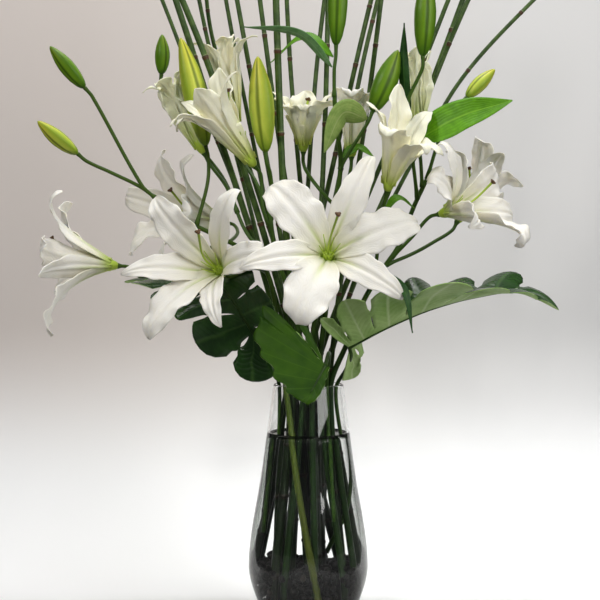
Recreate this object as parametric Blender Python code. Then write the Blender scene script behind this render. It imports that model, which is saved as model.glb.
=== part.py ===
"""A bouquet in a clear glass vase: white lilies with their buds and leaves, tall horsetail reeds and
monstera leaves, standing in water on a bed of dark pebbles.

Units are metres, +Z is up, -Y is the front and the origin is the centre of the vase's foot.
Every stem is a curve through a few knots: its cut foot in the vase, its place in the neck, and then
the way it leans. A flower is six tepals, a receptacle and a pistil, fused into one solid.
"""

import math

import bpy
from mathutils import Vector

# ---- vase, water and pebbles
VASE_HEIGHT = 0.279
GLASS = 0.0025          # wall thickness
FOOT_GLASS = 0.006      # thickness of the vase's floor
WATER_LEVEL = 0.219
PEBBLE_LEVEL = 0.058
CLEARANCE = 0.0003      # gap between neighbouring solids
ROUND = 32              # segments round the vase

# Outer radius of the vase at each height.
VASE_PROFILE = (
    (0.050, 0.000),
    (0.056, 0.006),
    (0.062, 0.019),
    (0.070, 0.043),
    (0.0722, 0.062),
    (0.0685, 0.103),
    (0.058, 0.163),
    (0.050, 0.220),
    (0.042, VASE_HEIGHT),
)

NECK_Z = 0.272          # height at which each stem has its own place in the neck

# ---- horsetail reeds: radius, foot (x, y, z), place in the neck (x, y), shoulder and tip
REEDS = {
    "reed_01": (0.0027, (-0.022, 0.041, 0.030), (-0.010, 0.031), (-0.166, 0.105, 0.709),
        (-0.244, 0.125, 0.900)),
    "reed_02": (0.0040, (-0.017, -0.010, 0.014), (-0.020, -0.007), (-0.123, 0.014, 0.627),
        (-0.224, 0.030, 0.930)),
    "reed_03": (0.0040, (0.010, -0.011, 0.030), (-0.006, -0.008), (-0.111, -0.004, 0.637),
        (-0.224, -0.006, 0.905)),
    "reed_04": (0.0028, (-0.044, 0.024, 0.045), (-0.026, 0.011), (-0.128, 0.100, 0.710),
        (-0.167, 0.125, 0.900)),
    "reed_05": (0.0028, (0.008, 0.040, 0.020), (0.004, 0.031), (-0.123, 0.118, 0.716),
        (-0.137, 0.130, 0.880)),
    "reed_06": (0.0028, (-0.019, 0.017, 0.022), (-0.015, 0.011), (-0.095, 0.085, 0.710),
        (-0.133, 0.105, 0.915)),
    "reed_07": (0.0032, (0.003, 0.017, 0.040), (-0.005, 0.011), (-0.083, 0.075, 0.722),
        (-0.124, 0.095, 0.935)),
    "reed_08": (0.0032, (0.0112, 0.017, 0.035), (0.006, 0.011), (-0.046, 0.052, 0.648),
        (-0.080, 0.070, 0.905)),
    "reed_09": (0.0043, (-0.036, -0.020, 0.016), (-0.018, -0.017), (-0.032, -0.036, 0.558),
        (-0.045, -0.044, 0.950)),
    "reed_10": (0.0030, (0.048, 0.014, 0.025), (0.017, 0.011), (-0.020, 0.046, 0.641),
        (-0.033, 0.060, 0.915)),
    "reed_11": (0.0030, (-0.040, 0.036, 0.034), (-0.015, 0.020), (0.009, 0.075, 0.650),
        (0.039, 0.095, 0.895)),
    "reed_12": (0.0033, (0.006, -0.024, 0.022), (0.006, -0.016), (0.021, 0.020, 0.615),
        (0.027, 0.024, 0.925)),
    "reed_13": (0.0032, (-0.042, 0.002, 0.097), (-0.026, 0.002), (0.051, 0.040, 0.636),
        (0.116, 0.055, 0.905)),
    "reed_14": (0.0030, (0.030, 0.036, 0.020), (0.000, 0.020), (0.062, 0.075, 0.643), (0.122, 0.100, 0.890)),
    "reed_15": (0.0032, (0.036, -0.018, 0.024), (0.025, -0.010), (0.078, 0.031, 0.657),
        (0.107, 0.036, 0.895)),
    "reed_16": (0.0030, (-0.030, 0.004, 0.018), (-0.012, 0.002), (0.157, 0.040, 0.709),
        (0.233, 0.055, 0.900)),
    "reed_17": (0.0035, (0.000, 0.004, 0.032), (0.003, 0.002), (0.133, 0.028, 0.598), (0.252, 0.050, 0.915)),
    "reed_18": (0.0030, (0.013, 0.005, 0.026), (0.017, 0.002), (0.160, 0.016, 0.664), (0.264, 0.018, 0.895)),
    "reed_19": (0.0028, (0.042, 0.034, 0.042), (0.016, 0.020), (0.174, 0.080, 0.627), (0.330, 0.105, 0.805)),
}

# ---- lilies: where the stem meets the flower, the way it faces, the pistil's length, and six tepals,
# inner and outer in turn, each as (roll, opening, reach, width, curl). Roll is clockwise from the top as
# seen from in front, opening and curl are angles from the flower's axis, in degrees.
FLOWERS = {
    "lily_front": ((0.022, -0.060, 0.429), (0.02, -0.95, 0.30), 0.085, (
        (320, 72, 0.116, 0.058, 120), (25, 68, 0.137, 0.0385, 105), (72, 70, 0.120, 0.052, 115),
        (126, 66, 0.116, 0.038, 110), (203, 64, 0.114, 0.062, 115), (255, 62, 0.122, 0.0385, 105))),
    "lily_left_front": ((-0.099, -0.040, 0.412), (-0.42, -0.87, 0.28), 0.085, (
        (322, 38, 0.130, 0.042, 90), (25, 57, 0.117, 0.032, 125), (84, 64, 0.094, 0.0395, 150),
        (154, 54, 0.110, 0.033, 100), (207, 56, 0.132, 0.042, 100), (252, 42, 0.128, 0.036, 80))),
    "lily_far_left": ((-0.227, -0.020, 0.421), (-0.97, -0.20, 0.12), 0.080, (
        (20, 46, 0.122, 0.034, 115), (75, 30, 0.108, 0.040, 100), (112, 32, 0.110, 0.032, 60),
        (158, 52, 0.124, 0.040, 95), (240, 50, 0.112, 0.032, 80), (325, 52, 0.112, 0.0395, 110))),
    "lily_left_back": ((-0.106, 0.078, 0.476), (-0.86, -0.40, 0.20), 0.080, (
        (280, 34, 0.135, 0.039, 120), (335, 42, 0.124, 0.054, 90), (35, 45, 0.116, 0.039, 100),
        (95, 42, 0.104, 0.050, 100), (155, 40, 0.112, 0.038, 90), (220, 38, 0.130, 0.050, 95))),
    "lily_upper_left": ((-0.064, -0.030, 0.539), (-0.56, -0.31, 0.77), 0.090, (
        (120, 16, 0.125, 0.040, 30), (175, 28, 0.122, 0.030, 85), (215, 30, 0.108, 0.040, 110),
        (265, 26, 0.118, 0.030, 60), (330, 26, 0.125, 0.042, 50), (50, 24, 0.122, 0.030, 75))),
    "lily_top_left": ((-0.089, 0.038, 0.590), (-0.17, 0.00, 0.98), 0.080, (
        (270, 17, 0.120, 0.040, 75), (215, 20, 0.116, 0.024, 60), (155, 16, 0.116, 0.040, 85),
        (100, 22, 0.120, 0.026, 80), (40, 16, 0.118, 0.040, 70), (330, 20, 0.118, 0.024, 60))),
    "lily_small_left": ((-0.128, 0.034, 0.560), (-0.44, -0.15, 0.88), 0.070, (
        (130, 13, 0.106, 0.040, 60), (190, 17, 0.108, 0.016, 80), (252, 13, 0.106, 0.040, 60),
        (312, 17, 0.104, 0.016, 60), (12, 13, 0.106, 0.040, 60), (72, 17, 0.104, 0.016, 60))),
    "lily_centre": ((-0.006, 0.002, 0.559), (0.00, -0.20, 0.98), 0.060, (
        (120, 32, 0.076, 0.044, 55), (180, 34, 0.064, 0.036, 150), (244, 30, 0.074, 0.044, 55),
        (300, 30, 0.082, 0.032, 60), (2, 26, 0.078, 0.044, 50), (62, 30, 0.078, 0.030, 60))),
    "lily_centre_back": ((0.052, 0.006, 0.553), (0.05, 0.00, 1.00), 0.060, (
        (190, 26, 0.080, 0.040, 140), (130, 26, 0.076, 0.030, 150), (70, 20, 0.064, 0.040, 150),
        (10, 18, 0.078, 0.026, 90), (315, 18, 0.080, 0.040, 90), (255, 24, 0.082, 0.026, 140))),
    "lily_right_cup": ((0.091, -0.060, 0.508), (0.20, -0.30, 0.93), 0.070, (
        (8, 14, 0.122, 0.040, 25), (64, 36, 0.116, 0.034, 70), (118, 44, 0.082, 0.042, 115),
        (178, 40, 0.086, 0.036, 120), (236, 34, 0.094, 0.044, 110), (300, 24, 0.108, 0.034, 60))),
    "lily_far_right": ((0.155, -0.030, 0.482), (0.86, -0.45, 0.25), 0.070, (
        (240, 50, 0.088, 0.036, 120), (185, 38, 0.112, 0.050, 140), (110, 44, 0.096, 0.038, 105),
        (55, 52, 0.098, 0.044, 115), (350, 76, 0.088, 0.038, 160), (305, 78, 0.070, 0.044, 165))),
    "lily_right_back": ((0.184, 0.042, 0.476), (0.48, 0.40, 0.78), 0.070, (
        (300, 30, 0.104, 0.034, 80), (345, 26, 0.112, 0.042, 90), (45, 32, 0.106, 0.034, 90),
        (105, 34, 0.112, 0.042, 90), (165, 36, 0.104, 0.034, 100), (240, 32, 0.100, 0.042, 90))),
    "lily_opening": ((0.131, -0.006, 0.578), (-0.03, 0.00, 1.00), 0.070, (
        (182, 9, 0.104, 0.040, 30), (238, 11, 0.100, 0.012, 30), (302, 9, 0.104, 0.040, 30),
        (2, 11, 0.100, 0.012, 30), (62, 9, 0.104, 0.040, 30), (118, 11, 0.100, 0.012, 30))),
}

# ---- buds: where the stem meets the bud, the tip, and the greatest radius
BUDS = {
    "bud_far_left_upper": ((-0.265, -0.020, 0.632), (-0.304, -0.030, 0.679), 0.0095),
    "bud_far_left_lower": ((-0.272, -0.030, 0.553), (-0.315, -0.050, 0.589), 0.0095),
    "bud_left_small": ((-0.182, 0.056, 0.659), (-0.181, 0.056, 0.708), 0.0095),
    "bud_left_large": ((-0.123, -0.005, 0.565), (-0.152, -0.012, 0.692), 0.0148),
    "bud_centre_left": ((-0.050, -0.045, 0.554), (-0.059, -0.050, 0.664), 0.0150),
    "bud_top_centre": ((0.032, -0.044, 0.678), (0.035, -0.046, 0.782), 0.0120),
    "bud_centre_right": ((0.075, -0.034, 0.602), (0.105, -0.034, 0.674), 0.0140),
    "bud_top_right": ((0.133, -0.046, 0.665), (0.136, -0.052, 0.760), 0.0130),
    "bud_far_right": ((0.190, 0.000, 0.623), (0.225, 0.010, 0.658), 0.0090),
}

# ---- branching lily stems: the main run first, then each side stem as its knots and what it carries
STEM_RADIUS = 0.0040
PEDICEL_RADIUS = 0.0022
LILY_STEMS = {
    "stem_left": (
        ((0.014, -0.050, 0.012), (-0.008, -0.043, 0.135), (-0.026, -0.0225, 0.272), (-0.036, -0.020, 0.340),
         (-0.048, -0.018, 0.410), (-0.078, -0.012, 0.440), (-0.137, -0.020, 0.470)),
        (
            (((-0.050, -0.018, 0.415), (-0.066, -0.026, 0.418)), "lily_left_front"),
            (((-0.100, -0.014, 0.450), (-0.150, -0.010, 0.428), (-0.198, -0.017, 0.408)), "lily_far_left"),
            (((-0.105, -0.014, 0.452), (-0.098, 0.020, 0.450), (-0.088, 0.064, 0.462)), "lily_left_back"),
            (((-0.137, -0.020, 0.470), (-0.182, -0.018, 0.502),
             (-0.198, -0.020, 0.517)), "bud_far_left_upper"),
            (((-0.182, -0.018, 0.502), (-0.200, -0.019, 0.515),
             (-0.235, -0.024, 0.532)), "bud_far_left_lower"),
            (((-0.133, -0.020, 0.468), (-0.120, -0.014, 0.520)), "bud_left_large"),
        ),
    ),
    "stem_centre_left": (
        ((-0.026, -0.024, 0.018), (-0.006, -0.026, 0.272), (-0.010, -0.031, 0.330), (-0.022, -0.036, 0.385),
         (-0.036, -0.036, 0.430), (-0.044, -0.032, 0.470), (-0.042, -0.027, 0.505)),
        (
            (((-0.043, -0.032, 0.460), (-0.054, -0.030, 0.490)), "lily_upper_left"),
            (((-0.042, -0.028, 0.500), (-0.045, -0.036, 0.530)), "bud_centre_left"),
            (((-0.044, -0.030, 0.475), (-0.062, -0.006, 0.520), (-0.084, 0.030, 0.556)), "lily_top_left"),
            (((-0.038, -0.035, 0.435), (-0.070, -0.016, 0.455), (-0.098, 0.008, 0.515)), "lily_small_left"),
            (((-0.085, -0.006, 0.485), (-0.105, 0.036, 0.530), (-0.152, 0.068, 0.590)), "bud_left_small"),
        ),
    ),
    "stem_front": (
        ((0.007, -0.037, 0.020), (0.004, -0.0335, 0.272), (0.006, -0.034, 0.340), (0.012, -0.030, 0.390)),
        (
            (((0.010, -0.032, 0.375), (0.020, -0.036, 0.408)), "lily_front"),
        ),
    ),
    "stem_centre_right": (
        ((0.040, -0.030, 0.016), (0.013, -0.0255, 0.272), (0.024, -0.024, 0.400), (0.034, -0.020, 0.499),
         (0.038, -0.024, 0.545), (0.032, -0.037, 0.590), (0.030, -0.043, 0.625)),
        (
            (((0.030, -0.042, 0.618), (0.030, -0.044, 0.650)), "bud_top_centre"),
            (((0.037, -0.023, 0.535), (0.047, -0.028, 0.553)), "bud_centre_right"),
            (((0.033, -0.020, 0.490), (0.016, -0.026, 0.508), (0.000, -0.012, 0.530)), "lily_centre"),
            (((0.034, -0.020, 0.500), (0.046, -0.004, 0.520)), "lily_centre_back"),
        ),
    ),
    "stem_right": (
        ((0.050, -0.014, 0.014), (0.026, -0.020, 0.272), (0.046, -0.026, 0.330), (0.066, -0.028, 0.381),
         (0.088, -0.028, 0.417), (0.107, -0.026, 0.445), (0.125, -0.014, 0.490), (0.142, -0.004, 0.525)),
        (
            (((0.098, -0.027, 0.430), (0.122, -0.030, 0.455)), "lily_far_right"),
            (((0.092, -0.027, 0.422), (0.125, -0.018, 0.436), (0.152, 0.010, 0.450)), "lily_right_back"),
            (((0.078, -0.028, 0.402), (0.082, -0.042, 0.450)), "lily_right_cup"),
            (((0.136, -0.008, 0.515), (0.134, -0.006, 0.550)), "lily_opening"),
            (((0.130, -0.012, 0.500), (0.122, -0.022, 0.560), (0.116, -0.034, 0.610)), "bud_top_right"),
            (((0.142, -0.004, 0.525), (0.160, 0.000, 0.580)), "bud_far_right"),
        ),
    ),
}

# ---- lily leaves: the stem, its run (0 is the main one, then the side stems in order) and the height
# at which the leaf sits on it, its knots out to the tip, the greatest width, and how far it leans over
LILY_LEAVES = {
    "leaf_top_long": ("stem_centre_right", 1, 0.652, ((-0.011, -0.058, 0.688),
        (-0.075, -0.056, 0.697)), 0.014, -30),
    "leaf_top_short": ("stem_centre_right", 1, 0.664, ((-0.004, -0.030, 0.690),
        (-0.046, -0.010, 0.662)), 0.016, 40),
    "leaf_centre_pale": ("stem_centre_right", 2, 0.592, ((0.040, -0.054, 0.598),
        (0.018, -0.054, 0.552)), 0.030, -60),
    "leaf_right_dark": ("stem_right", 5, 0.575, ((0.1125, -0.030, 0.640), (0.1118, -0.038, 0.705)), 0.014, 0),
    "leaf_right_bright": ("stem_right", 5, 0.566, ((0.175, -0.034, 0.595),
        (0.238, -0.043, 0.614)), 0.042, -72),
    "leaf_centre_small": ("stem_centre_right", 0, 0.548, ((0.058, -0.014, 0.562),
        (0.078, -0.018, 0.550)), 0.016, -30),
    "leaf_right_small": ("stem_right", 3, 0.484, ((0.104, -0.048, 0.500),
        (0.124, -0.044, 0.488)), 0.014, -30),
    "leaf_right_narrow": (
        "stem_right", 0, 0.384, ((0.080, -0.070, 0.408), (0.106, -0.114, 0.394),
            (0.115, -0.124, 0.346)), 0.012, -30),
}

# ---- monstera leaves: the petiole's knots, the midrib's knots, the way the blade's face looks at its
# base and at its tip, how far the lobes arch, and for each side: how far it folds up along the midrib at
# the base and beyond the middle, how far it droops, and the lines between its lobes, each with its start
# along the midrib, its angle, its length and half the angle by which the lobes part there
MONSTERAS = {
    "monstera_front": {
        "petiole": ((0.028, -0.042, 0.120), (0.0215, -0.0275, 0.272), (0.024, -0.044, 0.318)),
        "midrib": ((0.0186, -0.080, 0.306), (0.0075, -0.088, 0.286), (-0.0043, -0.096, 0.2655)),
        "faces": ((-0.04, -0.96, 0.25), (-0.06, -0.97, 0.15)),
        "arch": 0.0,
        "sides": (
            ((0, 0), 6, ((0.00, 132, 0.028, 0), (0.01, 118, 0.058, 3), (0.02, 103, 0.098, 0),
             (0.12, 88, 0.0874, 0),
                         (0.30, 79, 0.0626, 0), (0.50, 65, 0.0403, 0), (0.70, 53, 0.0222, 0))),
            ((0, 0), 20, ((0.00, 104, 0.005, 0), (0.12, 84, 0.007, 0), (0.30, 70, 0.010, 0),
             (0.50, 58, 0.0125, 0),
                          (0.70, 46, 0.012, 0))),
        ),
    },
    "monstera_left": {
        "petiole": ((-0.044, -0.006, 0.100), (-0.0345, -0.004, 0.272), (-0.050, -0.010, 0.318)),
        "midrib": ((-0.062, -0.036, 0.337), (-0.108, -0.024, 0.400), (-0.165, 0.008, 0.412),
            (-0.222, 0.032, 0.400)),
        "faces": ((-0.30, -0.93, 0.16), (0.00, 0.02, 1.00)),
        "arch": 0.0016,
        "sides": (
            ((0, 0), 0, ((0.00, 140, 0.016, 0), (0.05, 108, 0.032, 3), (0.20, 86, 0.037, 3),
             (0.40, 70, 0.042, 3),
                         (0.58, 58, 0.044, 3), (0.74, 42, 0.034, 3))),
            ((0, 0), 6, ((0.00, 176, 0.052, 0), (0.03, 104, 0.046, 7), (0.13, 60, 0.062, 3),
             (0.30, 58, 0.072, 3),
                         (0.50, 54, 0.062, 4), (0.70, 42, 0.042, 4))),
        ),
    },
    "monstera_right": {
        "petiole": ((0.016, 0.006, 0.075), (0.036, 0.002, 0.130), (0.042, -0.004, 0.190),
            (0.0325, -0.010, 0.272),
                    (0.0450, -0.016, 0.298), (0.0500, -0.034, 0.314)),
        "midrib": ((0.048, -0.044, 0.325), (0.092, -0.042, 0.348), (0.143, -0.034, 0.369),
            (0.200, -0.008, 0.383),
                   (0.257, 0.015, 0.388), (0.309, 0.030, 0.366)),
        "faces": ((-0.30, 0.84, 0.50), (0.00, -0.36, 0.93)),
        "arch": 0.0050,
        "sides": (
            ((0, 0), 6, ((0.00, 116, 0.020, 0), (0.02, 96, 0.054, 3), (0.14, 84, 0.062, 3),
             (0.28, 74, 0.060, 4),
                         (0.44, 64, 0.056, 5), (0.60, 54, 0.046, 5), (0.76, 40, 0.034, 5))),
            ((64, 22), -10, ((0.00, 122, 0.050, 0), (0.02, 84, 0.036, 10), (0.14, 84, 0.052, 3),
             (0.28, 74, 0.058, 4),
                             (0.44, 64, 0.060, 6), (0.60, 56, 0.052, 6), (0.76, 44, 0.038, 6))),
        ),
    },
}
BLADE = 0.0011          # thickness of a monstera blade
TEPAL = 0.0011          # thickness of a tepal
LEAF = 0.0009           # thickness of a lily leaf
LEAF_GAP = 0.0008       # distance from a stem's surface to the middle of a leaf's foot
INNER_START = 0.0035    # distance of an inner tepal's base from the flower's axis
OUTER_START = 0.0058    # distance of an outer tepal's base from the flower's axis
OUTER_WIDTH = 0.0391    # a tepal narrower than this belongs to the outer whorl

LEAF_GREEN = (0.030, 0.140, 0.025)
REED_GREEN = (0.020, 0.075, 0.028)
STEM_GREEN = (0.075, 0.190, 0.035)
BUD_GREEN = (0.330, 0.480, 0.100)
PETAL_WHITE = (0.880, 0.860, 0.780)
MONSTERA_GREEN = (0.025, 0.125, 0.030)


def clear_scene():
    """Removes every object that the file opened with."""
    for obj in list(bpy.data.objects):
        bpy.data.objects.remove(obj, do_unlink=True)


def material(name, colour, roughness, alpha=1.0, transmission=0.0):
    """A Principled material of one colour."""
    mat = bpy.data.materials.new(name)
    mat.use_nodes = True
    shader = mat.node_tree.nodes["Principled BSDF"]
    shader.inputs["Base Color"].default_value = (*colour, 1.0)
    shader.inputs["Roughness"].default_value = roughness
    shader.inputs["Metallic"].default_value = 0.0
    shader.inputs["Alpha"].default_value = alpha
    shader.inputs["Transmission Weight"].default_value = transmission
    mat.diffuse_color = (*colour, alpha)
    return mat


def add_object(name, solid, mat):
    """One mesh object from a solid, which is its points and its faces."""
    points, faces = solid
    mesh = bpy.data.meshes.new(name)
    mesh.from_pydata([tuple(p) for p in points], [], faces)
    mesh.materials.append(mat)
    mesh.shade_smooth()
    obj = bpy.data.objects.new(name, mesh)
    bpy.context.scene.collection.objects.link(obj)
    return obj


def baked(obj):
    """Applies an object's modifiers to its mesh."""
    bpy.context.view_layer.update()
    graph = bpy.context.evaluated_depsgraph_get()
    mesh = bpy.data.meshes.new_from_object(obj.evaluated_get(graph))
    obj.modifiers.clear()
    obj.data = mesh


def combine(name, solids, mat, operation="UNION", solver="EXACT"):
    """The first solid with the others added to it or cut from it."""
    obj = add_object(name, solids[0], mat)
    others = [add_object(f"{name}_part", solid, mat) for solid in solids[1:]]
    for other in others:
        step = obj.modifiers.new("Boolean", "BOOLEAN")
        step.operation = operation
        step.solver = solver
        step.object = other
        baked(obj)
        bpy.data.objects.remove(other, do_unlink=True)
    obj.data.name = name
    return obj


def smooth_path(knots, steps):
    """Points on a curve through every knot, with this many steps from one knot to the next."""
    knots = [Vector(k) for k in knots]
    ends = [2 * knots[0] - knots[1], *knots, 2 * knots[-1] - knots[-2]]
    path = []
    for before, start, end, after in zip(ends, ends[1:], ends[2:], ends[3:]):
        span = (end - start).length
        leave = (end - before) * (span / ((start - before).length + span))
        arrive = (after - start) * (span / ((after - end).length + span))
        for i in range(steps):
            t = i / steps
            a = start + leave * t
            path.append(
                start * (2 * t**3 - 3 * t**2 + 1)
                + end * (3 * t**2 - 2 * t**3)
                + leave * (t**3 - 2 * t**2 + t)
                + arrive * (t**3 - t**2)
            )
    path.append(knots[-1])
    return path


def tangents(path):
    """The direction of a path at each of its points."""
    ahead = [*path[1:], path[-1]]
    behind = [path[0], *path[:-1]]
    return [(a - b).normalized() for a, b in zip(ahead, behind)]


def tube(path, radii, sides=8):
    """A closed round tube along a path. radii is one radius or one for each point."""
    if not isinstance(radii, (list, tuple)):
        radii = [radii] * len(path)
    along = tangents(path)
    across = along[0].orthogonal().normalized()
    points = []
    for centre, direction, radius in zip(path, along, radii):
        across = (across - direction * across.dot(direction)).normalized()
        other = direction.cross(across)
        for i in range(sides):
            angle = 2 * math.pi * i / sides
            points.append(centre + radius * (math.cos(angle) * across + math.sin(angle) * other))
    return points, ring_faces(len(path), sides)


def ring_faces(rings, sides):
    """Faces of a closed body whose points lie in rings, the first and last of them capped."""
    faces = [tuple(reversed(range(sides)))]
    for r in range(rings - 1):
        for i in range(sides):
            j = (i + 1) % sides
            faces.append((r * sides + i, r * sides + j, (r + 1) * sides + j, (r + 1) * sides + i))
    faces.append(tuple(range((rings - 1) * sides, rings * sides)))
    return faces


def turned(profile, sides=ROUND):
    """A closed body turned about Z from (radius, height) pairs that start and end at the axis."""
    points = [Vector((0, 0, profile[0][1]))]
    rings = profile[1:-1]
    for radius, height in rings:
        for i in range(sides):
            angle = 2 * math.pi * i / sides
            points.append(Vector((radius * math.cos(angle), radius * math.sin(angle), height)))
    points.append(Vector((0, 0, profile[-1][1])))
    last = len(points) - 1
    faces = []
    for i in range(sides):
        j = (i + 1) % sides
        faces.append((0, 1 + j, 1 + i))
        for r in range(len(rings) - 1):
            a = 1 + r * sides
            b = a + sides
            faces.append((a + i, a + j, b + j, b + i))
        top = 1 + (len(rings) - 1) * sides
        faces.append((top + i, top + j, last))
    return points, faces


def thin_solid(points, faces, thickness):
    """A closed sheet of this thickness about a surface."""
    normals = [Vector() for _ in points]
    for face in faces:
        a, b, c = (points[face[i]] for i in (0, 1, 2))
        d = points[face[-1]]
        normal = (b - a).cross(c - a) + (c - a).cross(d - a)
        for i in face:
            normals[i] += normal
    half = thickness / 2
    normals = [n.normalized() for n in normals]
    both = [p + n * half for p, n in zip(points, normals)] + [p - n * half for p, n in zip(points, normals)]
    count = len(points)
    closed = [tuple(f) for f in faces] + [tuple(i + count for i in reversed(f)) for f in faces]
    edges = {(a, b) for f in faces for a, b in zip(f, (*f[1:], f[0]))}
    for a, b in sorted(edges):
        if (b, a) not in edges:
            closed.append((b, a, a + count, b + count))
    return both, closed


def grid_faces(rows, columns):
    """Faces of a grid of points laid out row by row."""
    return [
        (r * columns + c, r * columns + c + 1, (r + 1) * columns + c + 1, (r + 1) * columns + c)
        for r in range(rows - 1)
        for c in range(columns - 1)
    ]


# ---- vase, water and pebbles
def vase_radius(height):
    """The vase's outer radius at a height."""
    for (r0, z0), (r1, z1) in zip(VASE_PROFILE, VASE_PROFILE[1:]):
        if height <= z1:
            return r0 + (r1 - r0) * (height - z0) / (z1 - z0)
    return VASE_PROFILE[-1][0]


def inner_profile(bottom, top, gap):
    """(radius, height) pairs up the vase's inside, a gap away from the glass."""
    heights = [bottom, *(z for _, z in VASE_PROFILE if bottom < z < top), top]
    return [(vase_radius(z) - GLASS - gap, z) for z in heights]


def build_vase():
    outside = [(0, 0), *VASE_PROFILE]
    inside = list(reversed(inner_profile(FOOT_GLASS, VASE_HEIGHT, 0)))
    glass = material("clear_glass", (0.90, 0.93, 0.92), 0.02, 0.35, 1.0)
    add_object("vase", turned([*outside, *inside, (0, FOOT_GLASS)]), glass)


def stem_holes(paths):
    """A cutter round each stem that stands in the vase."""
    return [tube(path, radius + CLEARANCE * 1.3, sides=8) for path, radius in paths]


def build_water(paths):
    wall = inner_profile(PEBBLE_LEVEL + 0.0025, WATER_LEVEL, CLEARANCE)
    body = turned([(0, wall[0][1]), *wall, (0, WATER_LEVEL)])
    clear = material("water", (0.90, 0.95, 0.94), 0.0, 0.35, 1.0)
    combine("water", [body, *stem_holes(paths)], clear, "DIFFERENCE")


def build_pebbles(paths):
    wall = inner_profile(FOOT_GLASS + CLEARANCE, PEBBLE_LEVEL, CLEARANCE)
    top = [(0.050, PEBBLE_LEVEL + 0.0020), (0.034, PEBBLE_LEVEL - 0.0010), (0.018, PEBBLE_LEVEL + 0.0020)]
    body = turned([(0, wall[0][1]), *wall, *top, (0, PEBBLE_LEVEL)])
    dark = material("dark_pebbles", (0.030, 0.024, 0.020), 0.45)
    combine("pebble_bed", [body, *stem_holes(paths)], dark, "DIFFERENCE")


# ---- stems and reeds
def reed_path(foot, neck, shoulder, tip):
    """The curve of a reed from its foot, through the vase's neck, to its tip."""
    return smooth_path([foot, (*neck, NECK_Z), shoulder, tip], 2)


def build_reeds():
    paths = []
    for name, (radius, *knots) in REEDS.items():
        path = reed_path(*knots)
        add_object(name, tube(path, radius), material(f"{name}_green", REED_GREEN, 0.45))
        paths.append((path[:4], radius))
    return paths


def seat(carried):
    """The last two knots of the side stem that carries a flower or a bud, in line with it."""
    if carried in FLOWERS:
        base, axis = (Vector(v) for v in FLOWERS[carried][:2])
    else:
        base, tip = (Vector(v) for v in BUDS[carried][:2])
        axis = tip - base
    return [base - 0.014 * axis.normalized(), base]


def build_lily_stems():
    """Builds the stems; returns every run of each, as its points with the radius at each of them."""
    runs = {}
    for name, (main, sides) in LILY_STEMS.items():
        path = smooth_path(main, 2)
        taper = [STEM_RADIUS * (1 - 0.35 * i / (len(path) - 1)) for i in range(len(path))]
        runs[name] = [(path, taper)]
        for knots, carried in sides:
            path = smooth_path([*knots, *seat(carried)], 2)
            runs[name].append((path, [PEDICEL_RADIUS] * len(path)))
        solids = [tube(path, radii, sides=8 if k == 0 else 6) for k, (path, radii) in enumerate(runs[name])]
        combine(name, solids, material(f"{name}_green", STEM_GREEN, 0.45))
    return runs


# ---- flowers and buds
def flower_frame(axis):
    """The flower's axis, its upward direction and its sideways direction."""
    axis = Vector(axis).normalized()
    up = Vector((0, 0, 1)) if abs(axis.z) < 0.95 else Vector((0, 1, 0))
    up = (up - axis * up.dot(axis)).normalized()
    return axis, up, up.cross(axis)


def ease(low, high, value):
    """A smooth step from 0 to 1 as the value goes from low to high."""
    t = min(max((value - low) / (high - low), 0.0), 1.0)
    return t * t * (3 - 2 * t)


def tepal_width(t, outer):
    """The share of a tepal's half width at a share of its length: broad foot, full blade, blunt tip."""
    foot = 0.40 + 0.60 * ease(-0.05, 0.42 if outer else 0.52, t)
    taper = 1 - (0.42 if outer else 0.18) * ease(0.40, 0.95, t)
    tip = max(0.0, 1 - max(0.0, (t - 0.62) / 0.38) ** 2.3) ** 0.70
    return foot * taper * tip


def tepal(base, axis, roll, opening, reach, width, curl, outer, rows=6):
    """One tepal: a sheet that leaves the throat along the axis, opens, and curls back at its tip."""
    axis, up, side = flower_frame(axis)
    angle = math.radians(roll)
    radial = math.cos(angle) * up + math.sin(angle) * side
    across = axis.cross(radial)

    def place(out, along):
        return base + radial * out + axis * along

    opened = math.radians(opening)
    curled = math.radians(curl)
    tip = (reach * math.sin(opened), reach * math.cos(opened))
    lean = math.radians(min(24.0, opening * 0.6) + (3.0 if outer else 0.0))
    start = OUTER_START if outer else INNER_START
    p0 = (start, 0.007)
    p1 = (start + 0.42 * reach * math.sin(lean), 0.007 + 0.42 * reach * math.cos(lean))
    p2 = (tip[0] - 0.34 * reach * math.sin(curled), tip[1] - 0.34 * reach * math.cos(curled))
    points = []
    for i in range(rows):
        t = i / (rows - 1)
        weights = ((1 - t) ** 3, 3 * t * (1 - t) ** 2, 3 * t * t * (1 - t), t**3)
        slopes = (-3 * (1 - t) ** 2, 3 * (1 - t) * (1 - 3 * t), 3 * t * (2 - 3 * t), 3 * t * t)
        out, along = (sum(w * p[k] for w, p in zip(weights, (p0, p1, p2, tip))) for k in (0, 1))
        d_out, d_along = (sum(w * p[k] for w, p in zip(slopes, (p0, p1, p2, tip))) for k in (0, 1))
        tangent = (radial * d_out + axis * d_along).normalized()
        inward = tangent.cross(across)
        half = width / 2 * tepal_width(t, outer)
        wrap = min(max(half, 0.0012) / out, 0.95)
        reach_across = out * math.sin(wrap)
        cup = out * (1 - math.cos(wrap)) * max(0.15, tangent.dot(axis))
        for c in (-1, 0, 1):
            points.append(place(out, along) + across * (reach_across * c) + inward * (cup * abs(c)))
    return thin_solid(points, grid_faces(rows, 3), TEPAL)


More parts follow.
